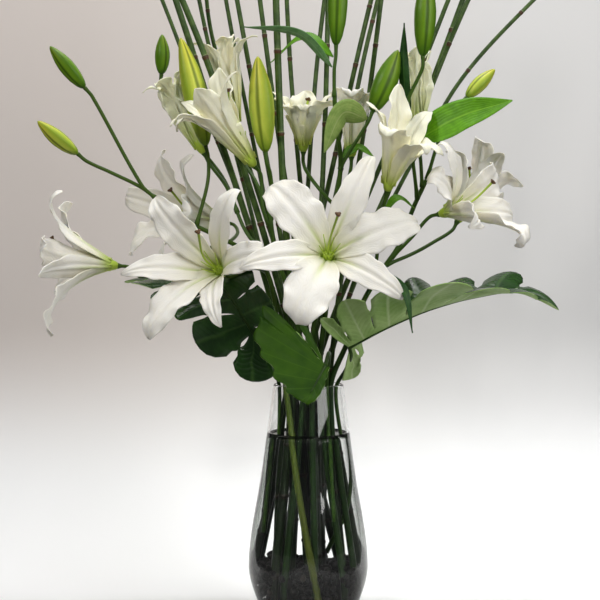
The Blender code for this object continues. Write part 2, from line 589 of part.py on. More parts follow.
def build_flowers():
    for name, (base, axis, pistil, tepals) in FLOWERS.items():
        base = Vector(base)
        ahead, up, side = flower_frame(axis)
        foot = [base + ahead * d for d in (0.0006, 0.006, 0.013, 0.018)]
        solids = [tube(foot, [0.0030, 0.0064, 0.0070, 0.0045])]
        for roll, opening, reach, width, curl in tepals:
            solids.append(tepal(base, axis, roll, opening, reach, width, curl, width < OUTER_WIDTH))
        style = smooth_path([base + ahead * 0.012, base + ahead * (0.6 * pistil) + up * (0.05 * pistil),
                             base + (ahead + 0.28 * up + 0.10 * side) * pistil], 2)
        solids.append(tube(style, [0.0016, 0.0013, 0.0013, 0.0016, 0.0034], sides=6))
        combine(name, solids, material(f"{name}_white", PETAL_WHITE, 0.50), solver="MANIFOLD")


def build_buds():
    # the share of the greatest radius at each share of the bud's length
    shape = ((0.00, 0.22), (0.07, 0.55), (0.25, 0.90), (0.50, 1.00), (0.75, 0.74), (0.92, 0.36),
     (1.00, 0.08))
    for name, (base, tip, radius) in BUDS.items():
        base = Vector(base)
        axis = Vector(tip) - base
        start = base + axis.normalized() * 0.0006
        path = [start.lerp(Vector(tip), t) for t, _ in shape]
        body = tube(path, [radius * r for _, r in shape], sides=6)
        add_object(name, body, material(f"{name}_green", BUD_GREEN, 0.40))


# ---- leaves
def beside(run, height, toward):
    """A point that just clears a stem at a height, on the side that faces a place."""
    path, radii = run
    for a, b, radius in zip(path, path[1:], radii):
        if a.z <= height <= b.z:
            centre = a.lerp(b, (height - a.z) / (b.z - a.z))
            tangent = (b - a).normalized()
            away = Vector(toward) - centre
            away = (away - tangent * away.dot(tangent)).normalized()
            return centre + away * (radius + LEAF_GAP)
    raise ValueError("no such height on the stem")


def build_lily_leaves(runs):
    for name, (stem, run, height, knots, width, lean) in LILY_LEAVES.items():
        path = smooth_path([beside(runs[stem][run], height, knots[0]), *knots], 3)
        turn = math.radians(lean)
        points = []
        for i, (centre, tangent) in enumerate(zip(path, tangents(path))):
            t = i / (len(path) - 1)
            level = tangent.cross(Vector((0, 0, 1))).normalized()
            upright = level.cross(tangent)
            across = level * math.cos(turn) + upright * math.sin(turn)
            face = upright * math.cos(turn) - level * math.sin(turn)
            half = max(0.0009, width / 2 * math.sin(math.pi * t**0.8) ** 0.85 if 0 < t < 1 else 0)
            for c in (-1, 0, 1):
                points.append(centre + across * (half * c) + face * (0.18 * half * abs(c)))
        sheet = thin_solid(points, grid_faces(len(path), 3), LEAF)
        add_object(name, sheet, material(f"{name}_green", LEAF_GREEN, 0.40))


LOBE_ROWS = (0.00, 0.14, 0.32, 0.50, 0.60, 0.80, 1.00)
SLITS = (0.0, 0.0, 0.8, 0.0, 0.0, 1.0, 1.0)     # how far neighbouring lobes are parted at each row
TIP_START = 0.88        # the undivided end of the blade begins here
SEAM = 0.0005           # how far each half of a blade reaches past the midrib


def blade_point(rib, along, across, side, folds, droop, lift):
    """A point of a blade from its distance along the midrib and its distance out from it."""
    path, frames, length = rib
    place = max(0.0, along / length * (len(path) - 1))
    i = min(int(place), len(path) - 2)
    t = min(place - i, 1.0)
    centre = path[i].lerp(path[i + 1], t)
    tangent, face = (frames[i][k].lerp(frames[i + 1][k], t).normalized() for k in (0, 1))
    if along < 0:
        centre = path[0] + frames[0][0] * along
    share = along / length
    fold = folds[0] * ease(0.02, 0.10, share) + (folds[1] - folds[0]) * ease(0.35, 0.65, share)
    fold = math.radians(fold)
    flat = tangent.cross(face) * side
    out = flat * math.cos(fold) + face * math.sin(fold)
    above = face * math.cos(fold) - flat * math.sin(fold)
    bend = math.radians(droop) * across / 0.09
    return centre + out * (across * math.cos(bend / 2)) + above * (lift - across * math.sin(bend / 2))


def half_blade(rib, side, folds, droop, lines, arch):
    """One half of a blade: lobes between its lines, parted at the margin and by a slit within."""
    length = rib[2]
    places = {}
    points = []
    faces = []

    def add(point):
        key = tuple(round(value, 6) for value in point)
        if key not in places:
            places[key] = len(points)
            points.append(point)
        return places[key]

    end = (TIP_START, 0, (1 - TIP_START) * length, 0)
    for k, (low, high) in enumerate(zip(lines, (*lines[1:], end))):
        first = k == 0
        last = k + 1 == len(lines)
        bow = 0.496 * (low[2] + high[2])
        if low[3] or high[3]:
            bow = 1.06 * max(low[2], high[2])
        if last:
            bow = 0.90 * low[2]
        columns = []
        for f, size in ((0.0, low[2]), (0.5, bow), (1.0, high[2])):
            column = []
            for v, parting in zip(LOBE_ROWS, SLITS):
                low_turn = low[1] - (0 if first else low[3] * parting)
                high_turn = high[1] + (0 if last else high[3] * parting)
                turn = math.radians(low_turn + (high_turn - low_turn) * f)
                start = (low[0] + (high[0] - low[0]) * f) * length
                lift = arch * math.sin(math.pi * f) * ease(0.05, 0.6, v)
                across = size * v * math.sin(turn) - SEAM
                along = start + size * v * math.cos(turn)
                column.append(add(blade_point(rib, along, across, side, folds, droop, lift)))
            columns.append(column)
        for a, b in zip(columns, columns[1:]):
            for r in range(len(LOBE_ROWS) - 1):
                corners = [a[r], a[r + 1], b[r + 1], b[r]]
                quad = [c for i, c in enumerate(corners) if c != corners[i - 1]]
                if len(quad) > 2:
                    faces.append(quad if side > 0 else list(reversed(quad)))
    return thin_solid(points, faces, BLADE)


def build_monsteras():
    paths = []
    for name, leaf in MONSTERAS.items():
        path = smooth_path(leaf["midrib"], 6)
        frames = []
        for i, tangent in enumerate(tangents(path)):
            look = Vector(leaf["faces"][0]).lerp(Vector(leaf["faces"][1]), i / (len(path) - 1))
            frames.append((tangent, (look - tangent * tangent.dot(look)).normalized()))
        rib = (path, frames, sum((b - a).length for a, b in zip(path, path[1:])))
        stalk = smooth_path([*leaf["petiole"], leaf["midrib"][0]], 2)
        rib_path = [*stalk, *path[2:-4:5]]
        count = len(rib_path) - len(stalk)
        radii = [0.0023] * len(stalk) + [0.0018 - 0.0008 * i / (count - 1) for i in range(count)]
        solids = [tube(rib_path, radii, sides=5)]
        for side, (folds, droop, lines) in zip((1, -1), leaf["sides"]):
            solids.append(half_blade(rib, side, folds, droop, lines, leaf["arch"]))
        combine(name, solids, material(f"{name}_green", MONSTERA_GREEN, 0.25), solver="MANIFOLD")
        paths.append(([p for p in stalk if p.z < 0.30], 0.0023))
    return paths


def in_vase(path, radii):
    """The part of a stem that a cutter in the vase must follow, with its radius there."""
    low = [p for p in path if p.z < 0.30]
    return low, radii[0]


clear_scene()
build_vase()
lily_runs = build_lily_stems()
stems = [*build_reeds(), *(in_vase(*runs[0]) for runs in lily_runs.values()), *build_monsteras()]
build_water(stems)
build_pebbles(stems)
build_flowers()
build_buds()
build_lily_leaves(lily_runs)
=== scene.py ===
# %% [markdown]
# # White lilies, horsetail reeds and monstera leaves in a clear vase
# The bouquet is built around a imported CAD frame, which holds every stem, flower and leaf as a plain
# solid in its true place. This lesson swaps each solid for a finely shaped piece. Lengths are metres.

# %% Load the frame
import math
import random

import bmesh
import bpy
from mathutils import Euler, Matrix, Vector, noise


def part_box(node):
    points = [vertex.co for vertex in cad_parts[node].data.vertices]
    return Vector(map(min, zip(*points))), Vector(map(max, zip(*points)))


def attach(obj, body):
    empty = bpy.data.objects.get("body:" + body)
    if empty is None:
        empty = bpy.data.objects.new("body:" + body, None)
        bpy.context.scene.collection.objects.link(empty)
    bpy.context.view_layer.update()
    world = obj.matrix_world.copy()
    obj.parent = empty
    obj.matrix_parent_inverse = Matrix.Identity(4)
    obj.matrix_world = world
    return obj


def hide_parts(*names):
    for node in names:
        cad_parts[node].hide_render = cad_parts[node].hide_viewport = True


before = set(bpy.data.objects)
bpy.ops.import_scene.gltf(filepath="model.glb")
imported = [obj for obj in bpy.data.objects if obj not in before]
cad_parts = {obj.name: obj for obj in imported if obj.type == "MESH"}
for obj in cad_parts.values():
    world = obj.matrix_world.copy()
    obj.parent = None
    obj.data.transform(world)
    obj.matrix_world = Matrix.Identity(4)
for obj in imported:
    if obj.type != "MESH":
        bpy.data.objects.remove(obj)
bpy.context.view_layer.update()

# %% [markdown]
# ## Camera
# A long lens from 1.6 m in front keeps the stems nearly parallel, so a tall bouquet doesn't seem to lean.
# It looks very slightly down, so that the water shows as a thin ellipse.

# %% Camera
CAMERA_PLACE = (-0.010, -1.600, 0.416)
CAMERA_TILT = 1.29      # degrees below level

camera_data = bpy.data.cameras.new("camera")
camera_data.sensor_width = 36.0
camera_data.lens = 79.8
camera = bpy.data.objects.new("camera", camera_data)
camera.location = CAMERA_PLACE
camera.rotation_euler = (math.radians(90 - CAMERA_TILT), 0, 0)
bpy.context.scene.collection.objects.link(camera)
bpy.context.scene.camera = camera
bpy.context.scene.view_settings.view_transform = "Standard"

# %% [markdown]
# ## Helpers for shaders
# A finish here is a small graph of nodes, so short functions place a node, do a sum, map a value and
# blend two colours. With them a material reads as a few lines that say what is painted over what.

# %% Node helpers
def new_group(name, inputs, outputs):
    """An empty node group with these inputs (name, kind, value) and outputs (name, kind)."""
    tree = bpy.data.node_groups.new(name, "ShaderNodeTree")
    for label, kind, value in inputs:
        tree.interface.new_socket(label, in_out="INPUT", socket_type=kind).default_value = value
    for label, kind in outputs:
        tree.interface.new_socket(label, in_out="OUTPUT", socket_type=kind)
    return tree, tree.nodes.new("NodeGroupInput"), tree.nodes.new("NodeGroupOutput")


def feed(tree, socket, value):
    """Links a socket from another one, or gives it a plain value. A colour may leave out its alpha."""
    if isinstance(value, bpy.types.NodeSocket):
        tree.links.new(value, socket)
    else:
        socket.default_value = (*value, 1.0) if socket.type == "RGBA" and len(value) == 3 else value


def add_node(tree, kind, settings=None, **inputs):
    """A node with its settings; each input, by name or as i and its number, is a value or a socket."""
    made = tree.nodes.new(kind)
    for key, value in (settings or {}).items():
        setattr(made, key, value)
    for key, value in inputs.items():
        numbered = key[0] == "i" and key[1:].isdigit()
        feed(tree, made.inputs[int(key[1:]) if numbered else key.replace("_", " ")], value)
    return made


def calc(tree, operation, a, b=0.0, c=0.0):
    """A Math node's result."""
    return add_node(tree, "ShaderNodeMath", {"operation": operation}, i0=a, i1=b, i2=c).outputs[0]


def span(tree, value, low, high):
    """A value mapped smoothly from low..high to 0..1."""
    made = add_node(tree, "ShaderNodeMapRange", {"interpolation_type": "SMOOTHSTEP"}, Value=value,
                    From_Min=low, From_Max=high)
    return made.outputs[0]


def blend_colours(tree, factor, a, b):
    """A Mix node of two colours."""
    made = add_node(tree, "ShaderNodeMix", {"data_type": "RGBA"})
    for key, value in (("Factor", factor), ("A", a), ("B", b)):
        feed(tree, next(s for s in made.inputs if s.name == key and s.enabled), value)
    return next(s for s in made.outputs if s.enabled)


def texture_place(tree):
    """The u and v of the surface."""
    made = add_node(tree, "ShaderNodeSeparateXYZ", i0=tree.nodes.new("ShaderNodeUVMap").outputs[0])
    return made.outputs[0], made.outputs[1]


# %% [markdown]
# ## Backdrop and light
# Florists shoot white flowers against a seamless sweep: a floor that bends up into a wall with no line.
# A small source at the left of the camera and a large soft one at its right model the petals, a third
# hangs over the wall, and a pale room fills the shadows.
# The paper's sides and its front are painted dark, painted shade out of the camera's sight, and the water
# bends them into the grey edges of a full vase.

# %% Backdrop
SWEEP_FRONT = -2.6      # where the floor begins, behind the camera
SWEEP_DEPTH = 0.46      # where the wall stands behind the vase
SWEEP_RADIUS = 0.34
SWEEP_HALF_WIDTH = 1.9
SWEEP_HEIGHT = 2.4
BEND_STEPS = 16
WALL_STEPS = 6
SIGHT_SPREAD = 0.226    # the camera sees this much more at each side for every metre further back
UNLIT = (0.0, 0.0, 0.0)


def sweep_profile():
    """(y, z) points of the floor, the bend and the wall."""
    floor = [(SWEEP_FRONT + 0.2 * i, 0.0) for i in range(14)]
    start = SWEEP_DEPTH - SWEEP_RADIUS
    bend = []
    for i in range(BEND_STEPS + 1):
        angle = math.pi / 2 * i / BEND_STEPS
        bend.append((start + SWEEP_RADIUS * math.sin(angle), SWEEP_RADIUS * (1 - math.cos(angle))))
    rise = (SWEEP_HEIGHT - SWEEP_RADIUS) / WALL_STEPS
    wall = [(SWEEP_DEPTH, SWEEP_RADIUS + rise * i) for i in range(1, WALL_STEPS + 1)]
    return [p for p in floor if p[0] < start] + bend + wall


profile = sweep_profile()
points = [(x, y, z) for y, z in profile for x in (-SWEEP_HALF_WIDTH, 0.0, SWEEP_HALF_WIDTH)]
faces = []
for r in range(len(profile) - 1):
    for c in range(2):
        faces.append((3 * r + c, 3 * r + c + 1, 3 * r + c + 4, 3 * r + c + 3))
mesh = bpy.data.meshes.new("sweep")
mesh.from_pydata(points, [], faces)
mesh.shade_smooth()
sweep = bpy.data.objects.new("sweep", mesh)
bpy.context.scene.collection.objects.link(sweep)

paper = bpy.data.materials.new("sweep_paper")
paper.use_nodes = True
tree = paper.node_tree
paper_shader = tree.nodes["Principled BSDF"]
paper_shader.inputs["Emission Strength"].default_value = 1.0
paper_shader.inputs["Roughness"].default_value = 0.9
place = add_node(tree, "ShaderNodeNewGeometry")
x, y, z = add_node(tree, "ShaderNodeSeparateXYZ", Vector=place.outputs["Position"]).outputs

# the lit middle of the paper widens with the distance behind the vase
beyond = calc(tree, "MULTIPLY_ADD", y, -SIGHT_SPREAD, calc(tree, "ABSOLUTE", x))
# painted light: the paper is pinker at the left, greyer at the right, and whiter low down where light pools
tone = blend_colours(tree, span(tree, x, -0.40, 0.42), (0.72, 0.655, 0.615), (0.76, 0.752, 0.744))
white = blend_colours(tree, span(tree, z, 0.34, 0.08), tone, (0.90, 0.90, 0.895))
# painted shade: the paper's front and its far sides are painted dark, out of the camera's sight
front = blend_colours(tree, span(tree, y, 0.08, -0.05), white, (0.26, 0.26, 0.26))
sides = blend_colours(tree, span(tree, beyond, 0.376, 0.40), front, (0.08, 0.08, 0.08))

# low behind the vase the paper glows as well, more to the right, so the stems stand clear in the water
rise = blend_colours(tree, span(tree, x, -0.36, 0.20), (0.03, 0.03, 0.032), (0.34, 0.34, 0.34))
glow = blend_colours(tree, span(tree, z, 0.24, 0.04), UNLIT, rise)
near = blend_colours(tree, span(tree, y, 0.12, 0.03), glow, UNLIT)
lit = blend_colours(tree, span(tree, beyond, 0.372, 0.39), near, UNLIT)

tree.links.new(sides, paper_shader.inputs["Base Color"])
tree.links.new(lit, paper_shader.inputs["Emission Color"])
sweep.data.materials.append(paper)
print("sweep:", len(profile), "rows")

# %% Light
def area_light(name, place, target, size, power, colour):
    """A square soft light at a place, turned to a target."""
    data = bpy.data.lights.new(name, "AREA")
    data.size = size
    data.energy = power
    data.color = colour
    lamp = bpy.data.objects.new(name, data)
    lamp.location = place
    lamp.rotation_euler = (Vector(target) - Vector(place)).to_track_quat("-Z", "Y").to_euler()
    bpy.context.scene.collection.objects.link(lamp)


area_light("key", (-1.05, -1.75, 1.60), (0.0, 0.0, 0.42), 0.30, 17, (1.0, 0.975, 0.94))
area_light("fill", (1.5, -1.5, 1.2), (0.1, 0.1, 0.40), 1.4, 24, (1.0, 0.99, 0.975))
area_light("top", (0.1, 0.05, 2.1), (0.0, 0.12, 0.0), 0.7, 16, (1.0, 1.0, 1.0))

world = bpy.data.worlds.new("room")
world.use_nodes = True
tree = world.node_tree
way = add_node(tree, "ShaderNodeTexCoord")
parts = add_node(tree, "ShaderNodeSeparateXYZ", Vector=way.outputs["Generated"])
height = add_node(tree, "ShaderNodeMapRange", Value=parts.outputs["Z"], From_Min=0.10, From_Max=0.85,
                  To_Min=0.03, To_Max=0.62)
tree.links.new(height.outputs[0], tree.nodes["Background"].inputs["Strength"])
tree.nodes["Background"].inputs["Color"].default_value = (0.95, 0.97, 1.0, 1)
bpy.context.scene.world = world

# %% [markdown]
# ## Helpers for paths and meshes
# Everything that grows here follows a curve, so the first helper runs a smooth curve through a few
# knots. The second gathers points, faces and texture places into one mesh, because a flower of six
# tepals is easier to handle as one object. The texture place (u, v) says how far across and along a
# piece a point lies: materials use it to green a throat or to draw veins, whichever way a petal bends.

# %% Curves
def smooth_path(knots, steps):
    """Points on a curve through every knot, with this many steps from one knot to the next."""
    knots = [Vector(k) for k in knots]
    ends = [2 * knots[0] - knots[1], *knots, 2 * knots[-1] - knots[-2]]
    path = []
    for before, start, end, after in zip(ends, ends[1:], ends[2:], ends[3:]):
        gap = (end - start).length
        leave = (end - before) * (gap / ((start - before).length + gap))
        arrive = (after - start) * (gap / ((after - end).length + gap))
        for i in range(steps):
            t = i / steps
            a = start + leave * t
            path.append(
                start * (2 * t**3 - 3 * t**2 + 1)
                + end * (3 * t**2 - 2 * t**3)
                + leave * (t**3 - 2 * t**2 + t)
                + arrive * (t**3 - t**2)
            )
    path.append(knots[-1])
    return path


def tangents(path):
    """The direction of a path at each of its points."""
    ahead = [*path[1:], path[-1]]
    behind = [path[0], *path[:-1]]
    return [(a - b).normalized() for a, b in zip(ahead, behind)]


def lengths(path):
    """How far along the path each point lies."""
    run = [0.0]
    for a, b in zip(path, path[1:]):
        run.append(run[-1] + (b - a).length)
    return run


def at_length(path, run, distance):
    """The point of a path at a distance along it."""
    for i in range(len(path) - 1):
        if distance <= run[i + 1]:
            return path[i].lerp(path[i + 1], (distance - run[i]) / max(run[i + 1] - run[i], 1e-9))
    return path[-1]


def ease(low, high, value):
    """0 below low, 1 above high, and smooth between."""
    t = min(1.0, max(0.0, (value - low) / (high - low)))
    return t * t * (3 - 2 * t)


# %% Meshes
class Surface:
    """Points, faces and texture places of one mesh, gathered part by part."""

    def __init__(self):
        self.points = []
        self.places = []
        self.faces = []
        self.kinds = []

    def grid(self, rows, places, closed=False, kind=0):
        """Adds a grid of points given row by row. closed joins each row's last point to its first, and
        kind is the place of the grid's material in the list that finish is given."""
        start = len(self.points)
        width = len(rows[0])
        for row, spots in zip(rows, places):
            self.points += row
            self.places += spots
        for r in range(len(rows) - 1):
            for c in range(width if closed else width - 1):
                d = (c + 1) % width
                a = start + r * width
                self.faces.append((a + c, a + d, a + width + d, a + width + c))
                self.kinds.append(kind)

    def closed_rings(self, rows, places, kind=0, ends=0):
        """Adds rings of points, joined one to the next, with a cap over the first and the last."""
        start = len(self.points)
        self.grid(rows, places, True, kind)
        self.faces.append(tuple(range(start + len(rows[0]) - 1, start - 1, -1)))
        self.faces.append(tuple(range(len(self.points) - len(rows[-1]), len(self.points))))
        self.kinds += [ends, ends]

    def tube(self, path, radii, sides=12, measure=None, ends=0):
        """A round tube along a path. u runs up and down once round it, v is the distance along it,
        or what measure makes of that distance. ends is the kind of the caps."""
        along = tangents(path)
        across = along[0].orthogonal().normalized()
        angles = [math.tau * i / sides for i in range(sides)]
        rows = []
        places = []
        for centre, direction, radius, distance in zip(path, along, radii, lengths(path)):
            across = (across - direction * across.dot(direction)).normalized()
            other = direction.cross(across)
            rows.append([centre + radius * (math.cos(a) * across + math.sin(a) * other) for a in angles])
            v = measure(distance) if measure else distance
            places.append([(abs(2 * i / sides - 1), v) for i in range(sides)])
        self.closed_rings(rows, places, 0, ends)

    def finish(self, name, materials, nodes, slot, thickness=0.0, face=0):
        """Makes the object, which rides the root body and stands for the CAD nodes. A sheet is given its
        thickness, and face is how many places further on in the list its upper side's material lies."""
        mesh = bpy.data.meshes.new(name)
        mesh.from_pydata([tuple(p) for p in self.points], [], self.faces)
        layer = mesh.uv_layers.new(name="UVMap")
        spots = [0.0] * (2 * len(mesh.loops))
        corners = [0] * len(mesh.loops)
        mesh.loops.foreach_get("vertex_index", corners)
        for i, v in enumerate(corners):
            spots[2 * i], spots[2 * i + 1] = self.places[v]
        layer.data.foreach_set("uv", spots)
        for mat in materials:
            mesh.materials.append(mat)
        mesh.polygons.foreach_set("material_index", self.kinds)
        mesh.shade_smooth()
        mesh.update()
        obj = bpy.data.objects.new(name, mesh)
        bpy.context.scene.collection.objects.link(obj)
        if thickness:
            body = obj.modifiers.new("thickness", "SOLIDIFY")
            body.thickness = thickness
            body.offset = 0.0
            body.material_offset = face
        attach(obj, "root")
        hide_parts(*nodes)
        return obj


def report(obj, node):
    """Prints how far a piece's box reaches past its CAD solid's, in millimetres."""
    low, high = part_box(node)
    spots = [obj.matrix_world @ v.co for v in obj.data.vertices]
    past = max(max(max(p[k] for p in spots) - high[k], low[k] - min(p[k] for p in spots)) for k in range(3))
    print(f"{obj.name}: {len(obj.data.polygons)} faces, {past * 1000:.1f} mm past its solid")


# %% [markdown]
# ## Shared effects
# Four small node groups are reused all over the bouquet. *Mottle* breaks a flat colour into soft
# patches. *Length fade* blends two colours along a piece. *Ribs* draws fine lines along it, for the
# ridges of a reed and the veins of a petal or a leaf. *Midrib* marks the line down the middle.

# %% Mottle
mottle, entry, leave = new_group(
    "Mottle",
    (("Scale", "NodeSocketFloat", 40.0), ("Dark", "NodeSocketColor", (0, 0, 0, 1)),
     ("Light", "NodeSocketColor", (1, 1, 1, 1)), ("Contrast", "NodeSocketFloat", 0.25)),
    (("Color", "NodeSocketColor"), ("Height", "NodeSocketFloat")))
where = mottle.nodes.new("ShaderNodeTexCoord")
patches = add_node(mottle, "ShaderNodeTexNoise", Vector=where.outputs["Object"],
                   Scale=entry.outputs["Scale"], Detail=4.0, Roughness=0.55)
low = calc(mottle, "SUBTRACT", 0.5, entry.outputs["Contrast"])
high = calc(mottle, "ADD", 0.5, entry.outputs["Contrast"])
mask = span(mottle, patches.outputs[0], low, high)
mottle.links.new(
    blend_colours(mottle, mask, entry.outputs["Dark"], entry.outputs["Light"]), leave.inputs["Color"])
mottle.links.new(patches.outputs[0], leave.inputs["Height"])

# %% Length fade
length_fade, entry, leave = new_group(
    "Length fade",
    (("Start", "NodeSocketColor", (0, 0, 0, 1)), ("End", "NodeSocketColor", (1, 1, 1, 1)),
     ("From", "NodeSocketFloat", 0.0), ("To", "NodeSocketFloat", 1.0)),
    (("Color", "NodeSocketColor"), ("Mask", "NodeSocketFloat")))
_, v = texture_place(length_fade)
mask = span(length_fade, v, entry.outputs["From"], entry.outputs["To"])
length_fade.links.new(
    blend_colours(length_fade, mask, entry.outputs["Start"], entry.outputs["End"]), leave.inputs["Color"])
length_fade.links.new(mask, leave.inputs["Mask"])

# %% Ribs
ribs, entry, leave = new_group(
    "Ribs",
    (("Count", "NodeSocketFloat", 12.0), ("Waver", "NodeSocketFloat", 0.02)),
    (("Line", "NodeSocketFloat"), ("Height", "NodeSocketFloat")))
u, _ = texture_place(ribs)
where = ribs.nodes.new("ShaderNodeTexCoord")
drift = add_node(ribs, "ShaderNodeTexNoise", Vector=where.outputs["Object"], Scale=60.0, Detail=2.0)
shift = calc(ribs, "MULTIPLY", drift.outputs[0], entry.outputs["Waver"])
phase = calc(ribs, "MULTIPLY", calc(ribs, "ADD", u, shift), entry.outputs["Count"])
wave = calc(ribs, "PINGPONG", phase, 0.5)
ribs.links.new(span(ribs, wave, 0.16, 0.0), leave.inputs["Line"])
ribs.links.new(span(ribs, wave, 0.0, 0.5), leave.inputs["Height"])

# %% Midrib
midrib_mark, entry, leave = new_group(
    "Midrib",
    (("Middle", "NodeSocketFloat", 0.5), ("Width", "NodeSocketFloat", 0.04)),
    (("Mask", "NodeSocketFloat"),))
u, _ = texture_place(midrib_mark)
away = calc(midrib_mark, "ABSOLUTE", calc(midrib_mark, "SUBTRACT", u, entry.outputs["Middle"]))
midrib_mark.links.new(span(midrib_mark, away, entry.outputs["Width"], 0.0), leave.inputs["Mask"])
print("groups:", [g.name for g in bpy.data.node_groups])


# %% Material helpers
def new_material(name, roughness, **plain):
    """A material, its tree and its Principled shader with plain values on the sockets named."""
    mat = bpy.data.materials.new(name)
    mat.use_nodes = True
    shader = mat.node_tree.nodes["Principled BSDF"]
    shader.inputs["Roughness"].default_value = roughness
    shader.inputs["Specular IOR Level"].default_value = 0.22
    for key, value in plain.items():
        shader.inputs[key.replace("_", " ")].default_value = value
    return mat, mat.node_tree, shader


def use_group(tree, group, **inputs):
    """A group placed in a material with its own values."""
    return add_node(tree, "ShaderNodeGroup", {"node_tree": group}, **inputs)


def bump(tree, shader, height, strength, distance=0.0006):
    """Feeds a height into the shader's normal."""
    made = add_node(tree, "ShaderNodeBump", Height=height, Strength=strength, Distance=distance)
    tree.links.new(made.outputs[0], shader.inputs["Normal"])


def mottled_material(name, roughness, scale, dark, light, relief=0.0):
    """A finish of soft patches in two colours, which stand up a little if it has a relief."""
    mat, tree, shader = new_material(name, roughness)
    patch = use_group(tree, mottle, Scale=scale, Dark=dark, Light=light, Contrast=0.3)
    tree.links.new(patch.outputs["Color"], shader.inputs["Base Color"])
    if relief:
        bump(tree, shader, patch.outputs["Height"], relief)
    return mat


def deeper(colour, share):
    """A colour darkened to a share of itself."""
    return tuple(c * share for c in colour)


# %% [markdown]
# ## The vase
# A blown glass teardrop: a wall of 2.5 mm, a heavier floor and a fire-polished rim. It is a profile
# turned about the upright axis, so the shape comes from a handful of radii. Light must pass the glass
# to reach the stems, and shadow rays can't bend, so for them alone the material turns clear.

# %% Vase shape
VASE_HEIGHT = 0.279
GLASS = 0.0025
FOOT_GLASS = 0.006
WATER_LEVEL = 0.219
PEBBLE_LEVEL = 0.058
VASE_PROFILE = ((0.050, 0.000), (0.056, 0.006), (0.062, 0.019), (0.070, 0.043), (0.0722, 0.062),
                (0.0685, 0.103), (0.058, 0.163), (0.050, 0.220), (0.042, VASE_HEIGHT))
ROUND = 96

outline = smooth_path([(r, 0, z) for r, z in VASE_PROFILE], 8)


def vase_radius(height):
    """The vase's outer radius at a height, read from the smooth outline."""
    for a, b in zip(outline, outline[1:]):
        if height <= b.z:
            return a.x + (b.x - a.x) * (height - a.z) / max(b.z - a.z, 1e-9)
    return outline[-1].x


def rings(profile, count):
    """Rows of points round the upright axis, one for each (radius, height) pair."""
    angles = [math.tau * i / count for i in range(count)]
    return [[Vector((radius * math.cos(a), radius * math.sin(a), height)) for a in angles]
            for radius, height in profile]


def turned_body(profile):
    """A closed Surface turned about the upright axis from (radius, height) pairs."""
    sheet = Surface()
    places = [[(i / ROUND, height) for i in range(ROUND)] for _, height in profile]
    sheet.closed_rings(rings(profile, ROUND), places)
    return sheet


belly = [(p.x, p.z) for p in outline if 0.002 < p.z < VASE_HEIGHT - 0.002]
outside = [(0.046, 0.0003), (0.049, 0.0), *belly]
rim = []
for i in range(9):
    angle = math.radians(180 * i / 8)
    middle = vase_radius(VASE_HEIGHT) - GLASS / 2
    rim.append((middle + GLASS / 2 * math.cos(angle), VASE_HEIGHT - GLASS / 2 + GLASS / 2 * math.sin(angle)))
inner_heights = [VASE_HEIGHT - 0.004 - (VASE_HEIGHT - 0.016) * i / 40 for i in range(41)]
inside = [(vase_radius(z) - GLASS, z) for z in inner_heights]
floor_bend = [(vase_radius(0.012) - GLASS - 0.003, 0.0085), (0.044, 0.0066), (0.030, FOOT_GLASS)]
vase_sheet = turned_body([*outside, *rim, *inside, *floor_bend])

# %% Clear materials
def clear_material(name, colour, index, shadow, gleam, rim=None):
    """A clear material that lets shadow rays straight through. Given a rim colour, it takes on that colour
    where it turns away from the camera, as painted shade on its edges."""
    mat, tree, shader = new_material(name, 0.0, IOR=index)
    shader.inputs["Transmission Weight"].default_value = 1.0
    shader.inputs["Specular IOR Level"].default_value = gleam
    shader.inputs["Base Color"].default_value = (*colour, 1)
    # painted shade: where the surface turns away from the camera, its colour goes over to the dark rim
    # colour
    if rim:
        turned = add_node(tree, "ShaderNodeLayerWeight", Blend=0.5)
        tree.links.new(blend_colours(tree, span(tree, turned.outputs["Facing"], 0.13, 0.27), colour, rim),
                       shader.inputs["Base Color"])
    passing = add_node(tree, "ShaderNodeBsdfTransparent", Color=(*shadow, 1))
    rays = add_node(tree, "ShaderNodeLightPath")
    mixed = add_node(tree, "ShaderNodeMixShader", i0=rays.outputs["Is Shadow Ray"], i1=shader.outputs[0],
                     i2=passing.outputs[0])
    tree.links.new(mixed.outputs[0], tree.nodes["Material Output"].inputs["Surface"])
    return mat


clear_glass = clear_material("clear_glass", (0.985, 0.992, 0.988), 1.45, (0.93, 0.95, 0.94), 0.40)
vase = vase_sheet.finish("vase_glass", [clear_glass], ("vase",), "clear_glass")
report(vase, "vase")

# %% [markdown]
# ## The water
# Water wets the glass, so its skin climbs a little at the wall. The body is turned like the vase and
# reaches a hair into the glass: with a gap, the light would bend as if air lay between the two. Its CAD
# solid ends at the top of the pebbles, but this body runs on between them, down to the floor.

# %% Water
WETTED = 0.0002         # how far the water's body reaches into the glass
MENISCUS = 0.0022

water_heights = [0.0062 + (WATER_LEVEL - 0.0062) * i / 40 for i in range(41)]
wall = [(vase_radius(max(z, 0.012)) - GLASS + WETTED, z) for z in water_heights]
skin = []
for i in range(8):
    inward = 0.0005 + 0.0045 * i / 7
    skin.append((wall[-1][0] - inward, WATER_LEVEL + MENISCUS * math.exp(-inward / 0.0014)))
wall[-1] = (wall[-1][0], WATER_LEVEL + MENISCUS)
skin += [(r, WATER_LEVEL) for r in (0.034, 0.020, 0.006)]
# painted shade: the water's edges, where it turns away from the camera, are painted dark grey-green
clear_water = clear_material("clear_water", (0.985, 0.992, 0.985), 1.333, (0.92, 0.935, 0.92), 0.12,
                             rim=(0.045, 0.060, 0.045))
water = turned_body([(0.030, 0.0060), *wall, *skin]).finish("water_body", [clear_water], ("water",), "water")
report(water, "water")

# %% [markdown]
# ## The pebbles
# Dark river pebbles hold the stems upright. Each is a small ball squashed and dented by its own noise.
# Only the outer layer and the top show, so a dark core fills the middle and the stones surround it.

# %% Pebbles
PEBBLE_SIZES = (0.0040, 0.0062)
PEBBLE_TRIES = 9000
CLOSENESS = 0.78        # squashed stones may lie this share of their sizes apart
CORE_SIDES = 48


